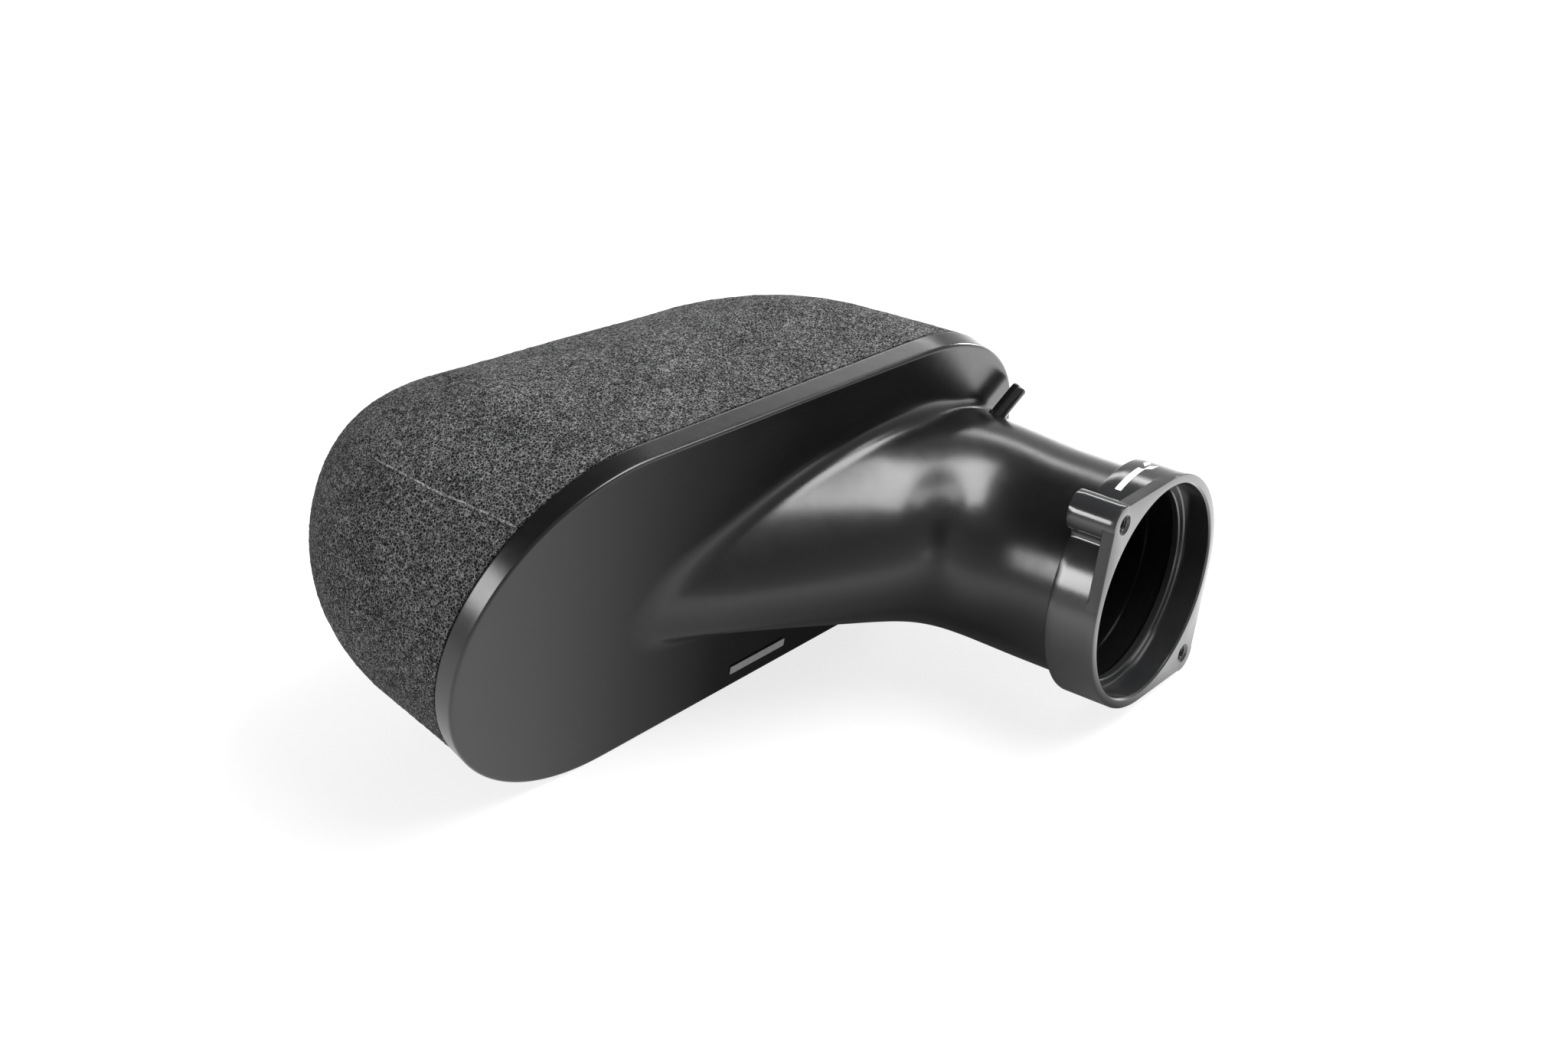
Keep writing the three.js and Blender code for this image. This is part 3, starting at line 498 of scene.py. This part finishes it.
def foam_shell(name, inset, d0, n, rows, node, mat, rough=0.0, groove=0.0):
    w, d2, r = dome_dirs(n); o, i_ = inset
    ks = np.concatenate([np.linspace(0, 0.34, rows // 3 + 1)[:-1], 0.34 + 0.66 * np.linspace(0, 1, rows - rows // 3) ** 0.93 * 0.985])
    th = np.arctan2(d2[:, 1], d2[:, 0])
    L = []
    er = 0.9
    for t in (0.0, 0.5, 1.0):                              # the cut lower edge, slightly rounded
        L.append(foam_point(w, d2, r, 0.0, o + er * (1 - math.sin(t * math.pi / 2)), d0))
    for k in ks[1:]: L.append(foam_point(w, d2, r, k, o, d0))
    nout = len(L)
    P = [W(x) for x in L]
    if rough or groove:
        A = np.array(P); m = len(P)
        du = np.roll(A, -1, 1) - np.roll(A, 1, 1); dv = np.gradient(A, axis=0)
        N = unit(np.cross(du, dv)); N = np.where((dot(N, A - W(np.array([-86.0, 15.0, -60.0]))) < 0)[..., None], -N, N)
        disp = np.zeros((m, n))
        for a in range(m):
            fade = min(1.0, max(0.0, (a - 1) / 3)) if a < 5 else 1.0
            for b in range(n):
                p = Vector(A[a, b]); disp[a, b] = fade * rough * (0.75 * noise.noise(p * 0.85) + 0.55 * noise.noise(p * 1.9 + Vector((7, 3, 1))) + 0.35 * noise.noise(p * 0.16))
        if groove:
            for a in range(m):
                k = 0.0 if a < 3 else float(ks[a - 2]); g = smooth((0.56 - k) / 0.06)
                dist = (th - seam_angle(k) + math.pi) % TAU - math.pi
                dist = dist * 62.0; sel = w < 0.02
                disp[a] -= np.where(sel, groove * float(g) * np.exp(-dist ** 2 / (2 * 0.9 ** 2)), 0)
        P = list(A + N * disp[..., None])
    inn = [W(foam_point(w, d2, r, k, i_, d0)) for k in (ks if rows < 60 else ks[::2])][::-1]
    v1, f1 = grid(P, cap1=True); v2, f2 = grid(inn, cap0=True)
    b = len(v1); nb = b + len(v2) - n
    f = f1 + [[x + b for x in q] for q in f2]
    j = np.arange(n); j1 = (j + 1) % n
    f += np.stack([nb + j, nb + j1, j1, j], 1).tolist()
    ob = make(name, np.concatenate([v1, v2]), f, node, mat=mat, merge=1e-3)
    return ob


# ------------------------------------------------------------------ wires
def tube(points, r, closed, sides=14, ends=True):
    p = np.asarray(points, float); n = len(p)
    t = unit(np.roll(p, -1, 0) - np.roll(p, 1, 0)) if closed else unit(np.gradient(p, axis=0))
    if closed: a = unit(M - t * dot(M[None], t)[:, None])
    else:
        a = np.zeros_like(p); a[0] = unit(np.cross(t[0], V if abs(t[0] @ U) > 0.8 else U))
        for i in range(1, n): a[i] = unit(a[i - 1] - t[i] * (a[i - 1] @ t[i]))
    b = np.cross(t, a); th = TAU * np.arange(sides) / sides
    rings = [p[i] + r * (np.cos(th)[:, None] * a[i] + np.sin(th)[:, None] * b[i]) for i in range(n)]
    if closed: return grid(rings, wrap=True)
    e = 0.35 * r
    s0 = [p[0] - 0 * t[0] + (r - e) * (np.cos(th)[:, None] * a[0] + np.sin(th)[:, None] * b[0])]
    s1 = [p[-1] + (r - e) * (np.cos(th)[:, None] * a[-1] + np.sin(th)[:, None] * b[-1])]
    rings[0] = rings[0] + t[0] * e; rings[-1] = rings[-1] - t[-1] * e
    return grid(s0 + rings + s1, cap0=True, cap1=True)


def pt(w, d, k, inset, d0=14.0):
    r = CL[2] + (CR[2] - CL[2]) * w
    return dome_point(np.array([w]), np.array([d], float), np.array([r]), k, inset, d0)[0]


def arch(w, inset, steps=60):
    ks = [i / steps * 0.97 for i in range(steps + 1)]
    return W(np.array([pt(w, (0, 1), k, inset) for k in ks] + [pt(w, (0, -1), k, inset) for k in ks[::-1]]))


def ridge(inset, steps=60):
    ks = [i / steps * 0.97 for i in range(steps + 1)]
    return W(np.array([pt(0.0, (-1, 0), k, inset) for k in ks] + [pt(1.0, (1, 0), k, inset) for k in ks[::-1]]))


def hoop(k, inset, n=240):
    w, d2, _ = dome_dirs(n)
    return W(dome_point(w, d2, CL[2] + (CR[2] - CL[2]) * w, k, inset, 14.0))


# ------------------------------------------------------------------ materials
class Mat:
    """a small helper round one node material"""

    def __init__(s, name, **k):
        s.m = bpy.data.materials.new(name); s.m.use_nodes = True; s.t = s.m.node_tree
        s.p = s.t.nodes["Principled BSDF"]; s.co = s.n("ShaderNodeTexCoord").outputs["Object"]
        for a, v in k.items(): s.p.inputs[a.replace("_", " ")].default_value = v

    def n(s, kind, **k):
        x = s.t.nodes.new(kind)
        for a, v in k.items():
            if a.startswith("i_"): x.inputs[a[2:].replace("_", " ")].default_value = v
            else: setattr(x, a, v)
        return x

    def l(s, a, b): s.t.links.new(a, b); return b

    def noise(s, scale, detail=3.0, rough=0.55, dist=0.0, co=None):
        x = s.n("ShaderNodeTexNoise", i_Scale=scale, i_Detail=detail, i_Roughness=rough, i_Distortion=dist)
        s.l(co or s.co, x.inputs["Vector"]); return x.outputs["Fac"]

    def range(s, v, a, b, c, d, clamp=True):
        x = s.n("ShaderNodeMapRange"); x.clamp = clamp
        for i, q in zip(("From Min", "From Max", "To Min", "To Max"), (a, b, c, d)): x.inputs[i].default_value = q
        s.l(v, x.inputs["Value"]); return x.outputs["Result"]

    def math(s, op, a, b=None):
        x = s.n("ShaderNodeMath", operation=op)
        for i, q in enumerate((a, b)):
            if q is None: continue
            if isinstance(q, (int, float)): x.inputs[i].default_value = q
            else: s.l(q, x.inputs[i])
        return x.outputs[0]

    def ramp(s, v, stops):
        x = s.n("ShaderNodeValToRGB"); e = x.color_ramp.elements
        while len(e) < len(stops): e.new(0.5)
        for k, (p, c) in zip(e, stops): k.position = p; k.color = (*c, 1) if len(c) == 3 else c
        s.l(v, x.inputs["Fac"]); return x.outputs["Color"]

    def bump(s, h, strength, dist, prev=None):
        x = s.n("ShaderNodeBump"); x.inputs["Strength"].default_value = strength; x.inputs["Distance"].default_value = dist
        s.l(h, x.inputs["Height"])
        if prev is not None: s.l(prev, x.inputs["Normal"])
        return x.outputs["Normal"]

    def out(s, color=None, rough=None, normal=None):
        if color is not None: s.l(color, s.p.inputs["Base Color"])
        if rough is not None: s.l(rough, s.p.inputs["Roughness"])
        if normal is not None: s.l(normal, s.p.inputs["Normal"])
        return s.m


g3 = lambda v, t=0.0: (v * (1 - t), v, v * (1 + t))


def plastic(name, lo, hi, r0, r1, grain=0.05):
    m = Mat(name, IOR=1.43)
    big = m.noise(26, 3); fine = m.noise(1500, 4, 0.6); mid = m.noise(210, 3)
    col = m.ramp(m.math("ADD", m.math("MULTIPLY", big, 0.6), m.math("MULTIPLY", fine, 0.4)), [(0.3, g3(lo, 0.02)), (0.7, g3(hi, 0.02))])
    ro = m.range(m.math("ADD", m.math("MULTIPLY", big, 0.5), m.math("MULTIPLY", mid, 0.5)), 0.32, 0.68, r0, r1)
    b = m.bump(fine, grain, 0.00012); b = m.bump(mid, 0.05, 0.0004, b)
    return m.out(col, ro, b)


def anodised(name, lo, hi, r0, r1):
    m = Mat(name, IOR=1.56)
    mp = m.n("ShaderNodeMapping"); mp.inputs["Location"].default_value = tuple(-POS / 1000); m.l(m.co, mp.inputs["Vector"])
    sx = m.n("ShaderNodeSeparateXYZ"); m.l(mp.outputs["Vector"], sx.inputs[0])
    rad = m.math("SQRT", m.math("ADD", m.math("MULTIPLY", sx.outputs["X"], sx.outputs["X"]), m.math("MULTIPLY", sx.outputs["Z"], sx.outputs["Z"])))
    turn = m.math("SINE", m.math("MULTIPLY", m.math("ADD", rad, sx.outputs["Y"]), 2 * math.pi / 0.00022))
    big = m.noise(60, 3); fine = m.noise(3800, 3, 0.6)
    col = m.ramp(m.math("ADD", m.math("MULTIPLY", big, 0.7), m.math("MULTIPLY", fine, 0.3)), [(0.3, g3(lo, 0.03)), (0.7, g3(hi, 0.03))])
    ro = m.range(m.math("ADD", m.math("MULTIPLY", big, 0.6), m.math("MULTIPLY", fine, 0.4)), 0.3, 0.7, r0, r1)
    b = m.bump(turn, 0.035, 0.00004); b = m.bump(fine, 0.06, 0.00004, b)
    return m.out(col, ro, b)


def foam_mat(name, cell, dark, mid, light, edge=0.5, bumpy=1.0):
    """open-cell foam: bright struts round dark pores, with small clumps; the bright struts and specks are painted
    glints and the dark pores painted shade
    """
    m = Mat(name, Roughness=1.0)
    m.p.inputs["Specular IOR Level"].default_value = 0.12
    wob = m.n("ShaderNodeTexNoise", i_Scale=0.9 / cell, i_Detail=2.0); m.l(m.co, wob.inputs["Vector"])
    # add a small wobble to the cells so that no row of them lines up
    sc = m.n("ShaderNodeVectorMath", operation="SCALE"); m.l(wob.outputs["Color"], sc.inputs[0]); sc.inputs["Scale"].default_value = cell * 0.9
    ad = m.n("ShaderNodeVectorMath", operation="ADD"); m.l(m.co, ad.inputs[0]); m.l(sc.outputs[0], ad.inputs[1])
    vo = m.n("ShaderNodeTexVoronoi", feature="DISTANCE_TO_EDGE", i_Scale=1 / cell); m.l(ad.outputs[0], vo.inputs["Vector"])
    v2 = m.n("ShaderNodeTexVoronoi", feature="F1", i_Scale=0.62 / cell); m.l(ad.outputs[0], v2.inputs["Vector"])
    # painted light: struts bright and pore centres dark, as glints and shade in the cells
    painted_glint_struts = m.range(vo.outputs["Distance"], 0.02, 0.30, 1.0, 0.0)
    speck_tone_and_glints = m.noise(2.1 / cell, 3, 0.7, co=ad.outputs[0]); patch = m.noise(0.07 / cell, 3, 0.6)
    k = m.math("ADD", m.math("MULTIPLY", painted_glint_struts, 0.34), m.math("ADD", m.math("MULTIPLY", speck_tone_and_glints, 0.95), m.math("MULTIPLY", patch, 0.16)))
    # painted shade: darker towards the middle of the larger cells
    k = m.math("SUBTRACT", k, m.math("MULTIPLY", v2.outputs["Distance"], 0.20))
    col = m.ramp(k, [(0.40, g3(dark, 0.01)), (0.60, g3(mid, 0.01)), (0.76, g3(0.35 * light + 0.65 * mid, 0.008)), (0.92, g3(light, 0.0))])
    b = m.bump(k, 0.75 * bumpy, cell * 0.7)
    b = m.bump(m.noise(0.45 / cell, 2), 0.35 * bumpy, cell * 0.8, b)
    return m.out(col, None, b)


def simple(name, lo, hi, r0, r1, scale=700, metal=0.0, bump=0.1, dist=0.0001, **k):
    m = Mat(name, Metallic=metal, **k); a = m.noise(scale, 4, 0.6); b = m.noise(scale / 14, 3)
    s_ = m.math("ADD", m.math("MULTIPLY", a, 0.5), m.math("MULTIPLY", b, 0.5))
    lo = g3(lo) if isinstance(lo, float) else lo; hi = g3(hi) if isinstance(hi, float) else hi
    return m.out(m.ramp(s_, [(0.3, lo), (0.7, hi)]), m.range(s_, 0.3, 0.7, r0, r1), m.bump(a, bump, dist))


MAT_DUCT = plastic("duct_satin_black", 0.0028, 0.0046, 0.21, 0.27)
MAT_FLANGE = anodised("black_anodised", 0.012, 0.018, 0.12, 0.18)
MAT_NIP = plastic("breather_black", 0.005, 0.009, 0.18, 0.25, 0.06)
MAT_FOAM = foam_mat("foam_open_cell", 0.00105, 0.0012, 0.004, 0.195)
MAT_FOAM2 = foam_mat("foam_medium_cell", 0.0008, 0.02, 0.07, 0.2)
MAT_FOAM3 = foam_mat("foam_fine_cell", 0.0006, 0.03, 0.08, 0.18)
MAT_SEAM = foam_mat("seam_glue", 0.0016, 0.03, 0.09, 0.30, bumpy=0.6)
MAT_SEAL = simple("seal_rubber", 0.006, 0.012, 0.55, 0.7, 1800, bump=0.2)
MAT_BOND = simple("cured_bond", 0.012, 0.022, 0.45, 0.65, 900, bump=0.3)
MAT_BEAD = simple("bead_polyurethane", 0.02, 0.032, 0.45, 0.6, 500, bump=0.25, dist=0.0002)
MAT_STEEL = simple("zinc_plated_wire", (0.42, 0.43, 0.45), (0.62, 0.62, 0.61), 0.22, 0.36, 900, metal=1.0, bump=0.08)
MAT_LABEL = simple("label_stock", 0.20, 0.30, 0.4, 0.55, 900, bump=0.1)
MAT_MARK = simple("flow_mark_white", 0.78, 0.86, 0.35, 0.5, 1600, bump=0.05)

# ------------------------------------------------------------------ pieces
_dv, _df = grid(duct_loops(), wrap=True)
duct = make("duct_body", _dv, _df, "duct_moulding", sharp=38, mat=MAT_DUCT)


def plug(r, l0, l1, n=64):
    v, f = lathe([(r, l0), (r, l1)], n, close=False)
    f = f + [list(range(n))[::-1], list(range(n, 2 * n))]
    me = bpy.data.meshes.new("plug"); me.from_pydata(((v + POS) / 1000).tolist(), [], [tuple(q) for q in f])
    bm = bmesh.new(); bm.from_mesh(me); face_out(bm); bm.to_mesh(me); bm.free()
    ob = bpy.data.objects.new("plug", me); SC.collection.objects.link(ob); return ob


cut(duct, plug(4.4, -6.0, 22.0))
duct.data.shade_smooth(); duct.data.set_sharp_from_angle(angle=math.radians(38))

flange = make_flange(MAT_FLANGE)

_n = 160; _ph = TAU * np.arange(_n) / _n
_v, _f = grid([round_loop(r, y, ph=_ph) for r, y in ((40.5, WEB_BACK + 0.35), (40.55, WEB_BACK + 0.3), (40.95, WEB_BACK + 0.3), (41.0, WEB_BACK + 0.35), (41.0, RING_L - 1.2), (40.9, RING_L - 1.0), (40.6, RING_L - 1.0), (40.5, RING_L - 1.2))], wrap=True)
make("bond_ring", _v, _f, "flange_bond_ring", sharp=40, mat=MAT_BOND)

# breather: straight spigot with a rounded tip and a bored end
_tip = [(3.0 - 1.1 * (1 - math.sin(t)), NIP_L - 1.1 + 1.1 * math.cos(t)) for t in np.linspace(math.pi / 2, 0.0, 9)]
_prof = [(2.0, 0.0), (3.0, 0.0), (3.0, 5.0), (3.0, 12.0), (3.0, 18.0)] + _tip[:] + [(1.78, NIP_L - 0.05), (1.6, NIP_L - 0.35), (1.6, NIP_L - 5.0), (2.0, NIP_L - 5.2), (2.0, 12.0)]
_v, _f = lathe(_prof, 56)
make("breather_spigot", _v, _f, "breather_nipple", sharp=40, mat=MAT_NIP)
_v, _f = lathe([(3.3, 1.6), (3.5, 1.5), (4.0, 1.5), (4.1, 1.7), (4.1, 7.2), (3.95, 7.5), (3.45, 7.5), (3.3, 7.3)], 56)
make("breather_seal", _v, _f, "nipple_seal", sharp=50, mat=MAT_SEAL)

NFO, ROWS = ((620, 112))
foam1 = foam_shell("foam_outer_layer", (0.3, 5.3), SKIRT + 0.3, NFO, ROWS, "foam_outer", MAT_FOAM, rough=0.26, groove=0.45)
foam2 = foam_shell("foam_middle_layer", (5.6, 9.1), 7.2, 240, 44, "foam_middle", MAT_FOAM2)
foam3 = foam_shell("foam_inner_layer", (9.4, 12.4), 7.2, 240, 44, "foam_inner", MAT_FOAM3)

# seam: an uneven line of glue along the joint in the foam wrap
_rows = []
_m = 150
for i in range(_m + 1):
    k = 0.01 + 0.49 * i / _m; a0 = seam_angle(k); q = []
    wob = 0.35 * noise.noise(Vector((i * 0.09, 1.7, 0.3))) / 62
    hw = (0.42 + 0.30 * noise.noise(Vector((i * 0.23, 4.2, 9.1)))) * (0.35 + 0.65 * min(1, min(i, _m - i) / 8)) / 62
    top = 0.02 + 0.22 * noise.noise(Vector((i * 0.31, 8.8, 2.2)))
    for dx, h in ((-1, 0.55), (-0.7, 0.30), (0, top), (0.7, 0.30), (1, 0.55), (0.5, 0.85), (-0.5, 0.85)):
        a = a0 + wob + dx * hw
        q.append(foam_point(np.array([0.0]), np.array([[math.cos(a), math.sin(a)]]), np.array([CL[2]]), k, 0.3 + h, SKIRT + 0.3)[0])
    _rows.append(W(np.array(q)))
_v, _f = grid(_rows, cap0=True, cap1=True)
make("foam_seam", _v, _f, "foam_seam_bond", mat=MAT_SEAM)

# label: thin sheet with rounded corners
def rounded(wd, ht, r, n=6):
    q = []
    for cx, cz, a0 in ((wd / 2 - r, ht / 2 - r, 0), (-wd / 2 + r, ht / 2 - r, 90), (-wd / 2 + r, -ht / 2 + r, 180), (wd / 2 - r, -ht / 2 + r, 270)):
        for i in range(n + 1): a = math.radians(a0 + 90 * i / n); q.append((cx + r * math.cos(a), cz + r * math.sin(a)))
    return np.array(q)


_c, _t = np.array([-75.6, -39.8]), 0.037
_q = rounded(27, 3.9, 0.5) @ np.array([[math.cos(_t), math.sin(_t)], [-math.sin(_t), math.cos(_t)]]) + _c
_lay = lambda s, h: W(np.concatenate([(_q - _c) * s + _c, np.full((len(_q), 1), h)], 1))
_v, _f = grid([_lay(1, 0.3), _lay(1, 0.52), _lay(0.997, 0.58)])
_f += [list(range(len(_q)))[::-1], list(range(2 * len(_q), 3 * len(_q)))]
make("blank_label", _v, _f, "rating_label", sharp=40, mat=MAT_LABEL)

# bead in the skirt, and the wire cage
_w0 = outward_of(EDGE)
_eo = lambda d, h, n=480: W(np.concatenate([(EDGE - _w0 * d)[::NE // n], np.full((n, 1), float(h))], 1))
_bs = [(SKIRT_T + 0.3, -4.2), (SKIRT_T + 0.3, -6.4), (SKIRT_T + 0.7, -6.9), (7.0, -6.7), (11.8, -6.9), (12.4, -6.4), (12.4, -4.0), (11.8, -3.5), (SKIRT_T + 0.9, -3.5)]
_v, _f = grid([_eo(d, h) for d, h in _bs], wrap=True)
make("bond_bead", _v, _f, "base_bead", mat=MAT_BEAD)
_bh = _eo(CAGE, -9.5, 240)
_v, _f = tube(_bh, WIRE_R, True)
make("cage_base_wire", _v, _f, "cage_base_hoop", mat=MAT_STEEL)
for _nm, _k in (("mid", 0.42), ("top", 0.72)):
    _v, _f = tube(hoop(_k, CAGE + 3.6), WIRE_R, True)
    make("cage_%s_wire" % _nm, _v, _f, "cage_%s_hoop" % _nm, mat=MAT_STEEL)
for _i, _w in enumerate((0, 0.25, 0.5, 0.75, 1.0)):
    _v, _f = tube(arch(_w, CAGE), WIRE_R, False)
    make("cage_rib_wire_%d" % (_i + 1), _v, _f, "cage_rib_%d" % (_i + 1), mat=MAT_STEEL)
_v, _f = tube(ridge(CAGE + 7.4), WIRE_R, False)
make("cage_ridge_rod", _v, _f, "cage_ridge_wire", mat=MAT_STEEL)

# flow mark on the flange ring: a plain bar and a chevron, printed
def strip_mark(name, a0, a1, y0, y1, steps=24, skew=0.0):
    rows = []
    for i in range(steps + 1):
        a = a0 + (a1 - a0) * i / steps
        q = []
        for y, r in ((y0, RING_R + 0.02), (y1, RING_R + 0.02), (y1, RING_R + 0.07), (y0, RING_R + 0.07)):
            aa = a + skew * (y - y0); q.append([r * math.cos(aa), y, r * math.sin(aa)])
        rows.append(np.array(q))
    v, f = grid(rows, cap0=True, cap1=True)
    return v, f


_d = math.pi / 180
_bv, _bf = strip_mark("bar", 103.5 * _d, 82 * _d, 11.6, 14.0, 30)
_cv, _cf = strip_mark("arm_a", 78.5 * _d, 72.5 * _d, 12.9, 14.9, 10, skew=-0.030)
_ev, _ef = strip_mark("arm_b", 78.5 * _d, 72.5 * _d, 9.9, 11.9, 10, skew=0.030)
_vs = np.concatenate([_bv, _cv, _ev]); _n1, _n2 = len(_bv), len(_bv) + len(_cv)
make("flow_mark", _vs, _bf + [[i + _n1 for i in q] for q in _cf] + [[i + _n2 for i in q] for q in _ef], sharp=30, mat=MAT_MARK)

# ------------------------------------------------------------------ floor, light, camera
def sky(az, el):
    a, e = math.radians(az), math.radians(el); return (math.sin(a) * math.cos(e), math.cos(a) * math.cos(e), math.sin(e))


def studio_world():
    """a plain studio: pale near the horizon, darker overhead"""
    w = bpy.data.worlds.new("studio"); SC.world = w; w.use_nodes = True; t = w.node_tree
    bg = t.nodes["Background"]; bg.inputs["Strength"].default_value = 1.0
    tc = t.nodes.new("ShaderNodeTexCoord"); sp = t.nodes.new("ShaderNodeSeparateXYZ"); t.links.new(tc.outputs["Generated"], sp.inputs[0])
    mr = t.nodes.new("ShaderNodeMapRange"); mr.inputs["From Min"].default_value = -1; mr.inputs["From Max"].default_value = 1; t.links.new(sp.outputs["Z"], mr.inputs["Value"])
    cr = t.nodes.new("ShaderNodeValToRGB"); e = cr.color_ramp.elements
    stops = ((0.0, 1.0), (0.46, 1.2), (0.52, 0.95), (0.60, 0.74), (0.80, 0.42), (1.0, 0.85))
    while len(e) < len(stops): e.new(0.5)
    for k, (p, v) in zip(e, stops): k.position = p; k.color = (v, v, v, 1)
    t.links.new(mr.outputs["Result"], cr.inputs["Fac"])
    # the unlit back of the studio
    nv = t.nodes.new("ShaderNodeVectorMath"); nv.operation = "NORMALIZE"; t.links.new(tc.outputs["Generated"], nv.inputs[0])
    dp = t.nodes.new("ShaderNodeVectorMath"); dp.operation = "DOT_PRODUCT"; t.links.new(nv.outputs[0], dp.inputs[0]); dp.inputs[1].default_value = sky(0, 48)
    m2 = t.nodes.new("ShaderNodeMapRange"); m2.interpolation_type = "SMOOTHSTEP"; t.links.new(dp.outputs["Value"], m2.inputs["Value"])
    m2.inputs["From Min"].default_value = math.cos(math.radians(60)); m2.inputs["From Max"].default_value = math.cos(math.radians(25))
    m2.inputs["To Min"].default_value = 1.0; m2.inputs["To Max"].default_value = 0.12
    sc = t.nodes.new("ShaderNodeVectorMath"); sc.operation = "SCALE"; t.links.new(cr.outputs["Color"], sc.inputs[0]); t.links.new(m2.outputs["Result"], sc.inputs["Scale"])
    t.links.new(sc.outputs[0], bg.inputs["Color"])


studio_world()
_fm = Mat("studio_floor", Roughness=0.9); _fm.p.inputs["Specular IOR Level"].default_value = 0.0
_fl = _fm.noise(3, 2)
_fm.out(_fm.ramp(_fl, [(0.3, (0.18, 0.18, 0.18)), (0.7, (0.19, 0.19, 0.19))]))
_sx = _fm.n("ShaderNodeSeparateXYZ"); _fm.l(_fm.co, _sx.inputs[0])
# painted light: the floor glows by itself, which lightens the shadows on it, and glows more strongly out to the right
_em = _fm.range(_fm.math("SUBTRACT", _sx.outputs["X"], _fm.math("MULTIPLY", _sx.outputs["Y"], 0.35)), 0.06, 0.8, 0.78, 1.3)
_fm.p.inputs["Emission Color"].default_value = (1, 1, 1, 1); _fm.l(_em, _fm.p.inputs["Emission Strength"])
me = bpy.data.meshes.new("floor"); me.from_pydata([(-6, -6, -0.0004), (6, -6, -0.0004), (6, 6, -0.0004), (-6, 6, -0.0004)], [], [(0, 1, 2, 3)])
floor = bpy.data.objects.new("floor", me); SC.collection.objects.link(floor); me.materials.append(_fm.m); floor.visible_glossy = False

# the table as the glossy parts see it: a glowing card seen only in reflections, with painted shade below the tube and
# painted light out to the right and just in front of the flange
_rm = Mat("studio_painted_reflection_card"); _e = _rm.n("ShaderNodeEmission")
_sx = _rm.n("ShaderNodeSeparateXYZ"); _rm.l(_rm.co, _sx.inputs[0])
_s = _rm.math("ADD", _sx.outputs["X"], _rm.math("MULTIPLY", _sx.outputs["Y"], 0.62))
# painted shade: the reflected table falls from bright on the left to nearly black under the tube
_k = _rm.ramp(_rm.range(_s, -0.16, 0.04, 0.0, 1.0), [(p, (v, v, v)) for p, v in ((0.0, 0.95), (0.30, 0.65), (0.41, 0.53), (0.60, 0.26), (0.80, 0.06), (1.0, 0.03))])
# painted light: bright patches out to the right and just in front of the flange, dimmer further away
_r = _rm.range(_sx.outputs["X"], 0.118, 0.165, 0.0, 3.1)
_w = _rm.math("MULTIPLY", _rm.range(_sx.outputs["Y"], -0.118, -0.132, 0.0, 1.0), _rm.range(_sx.outputs["X"], 0.075, 0.11, 0.0, 2.6))
_far = _rm.math("SQRT", _rm.math("ADD", _rm.math("MULTIPLY", _sx.outputs["X"], _sx.outputs["X"]), _rm.math("MULTIPLY", _sx.outputs["Y"], _sx.outputs["Y"])))
_st = _rm.math("MULTIPLY", _rm.math("ADD", _rm.math("MULTIPLY", _k, 2.0), _rm.math("MAXIMUM", _r, _w)), _rm.range(_far, 0.25, 0.9, 1.0, 0.52))
_rm.l(_st, _e.inputs["Strength"]); _rm.l(_e.outputs[0], next(n for n in _rm.t.nodes if n.type == "OUTPUT_MATERIAL").inputs["Surface"])
me = bpy.data.meshes.new("painted_reflection_card"); me.from_pydata([(-3, -3, -0.0008), (3, -3, -0.0008), (3, 3, -0.0008), (-3, 3, -0.0008)], [], [(0, 1, 2, 3)])
card = bpy.data.objects.new("painted_reflection_card", me); SC.collection.objects.link(card); me.materials.append(_rm.m)
card.visible_camera = card.visible_diffuse = card.visible_shadow = card.visible_transmission = False

CEN = Vector((0.0, 0.0, 0.07))


def softbox(name, direction, dist, size, power, target=CEN, spread=math.pi):
    d = Vector(direction).normalized(); ld = bpy.data.lights.new(name, "AREA"); ld.shape = "RECTANGLE"
    ld.size, ld.size_y = size; ld.energy = power; ld.spread = spread
    ob = bpy.data.objects.new(name, ld); SC.collection.objects.link(ob); ob.location = target + d * dist
    ob.rotation_mode = "QUATERNION"; ob.rotation_quaternion = (-d).to_track_quat("-Z", "Y"); return ob


def box_light(name, az, el, dist, size, radiance):
    return softbox(name, sky(az, el), dist, size, radiance * math.pi * size[0] * size[1])


fill = box_light("fill_box", 138, 60, 1.25, (1.25, 0.70), 13.5); fill.visible_glossy = False
for _n, _a, _e, _z, _v in (("key_box", 148, 63, (0.98, 0.56), 15.5), ("low_key_box", 151, 42, (0.32, 0.24), 9.0)):
    _b = box_light(_n, _a, _e, 1.25, _z, _v); _b.visible_diffuse = False
box_light("side_box", -58, 20, 1.2, (0.60, 0.40), 14.0)
box_light("back_box", 64, 34.5, 1.5, (0.9, 0.20), 8.5)
box_light("edge_box", 94, 12, 1.2, (0.30, 0.24), 42.0)

cam_d = bpy.data.cameras.new("camera"); cam = bpy.data.objects.new("camera", cam_d); SC.collection.objects.link(cam)
_fw = Vector((0.6891, 0.5030, -0.5216)).normalized(); _rt = Vector((0.5892, -0.8080, -0.0006)); _rt = (_rt - _fw * _rt.dot(_fw)).normalized(); _up = _rt.cross(_fw)
cam.matrix_world = Matrix.Translation((Vector((-718.35, -357.93, 513.44)) + Vector(POS)) / 1000) @ Matrix((_rt, _up, -_fw)).transposed().to_4x4()
cam_d.sensor_width = 36.0; cam_d.lens = 3400 / 2048 * 36.0; cam_d.clip_start = 0.02; cam_d.clip_end = 60
SC.camera = cam
SC.view_settings.view_transform = "Standard"
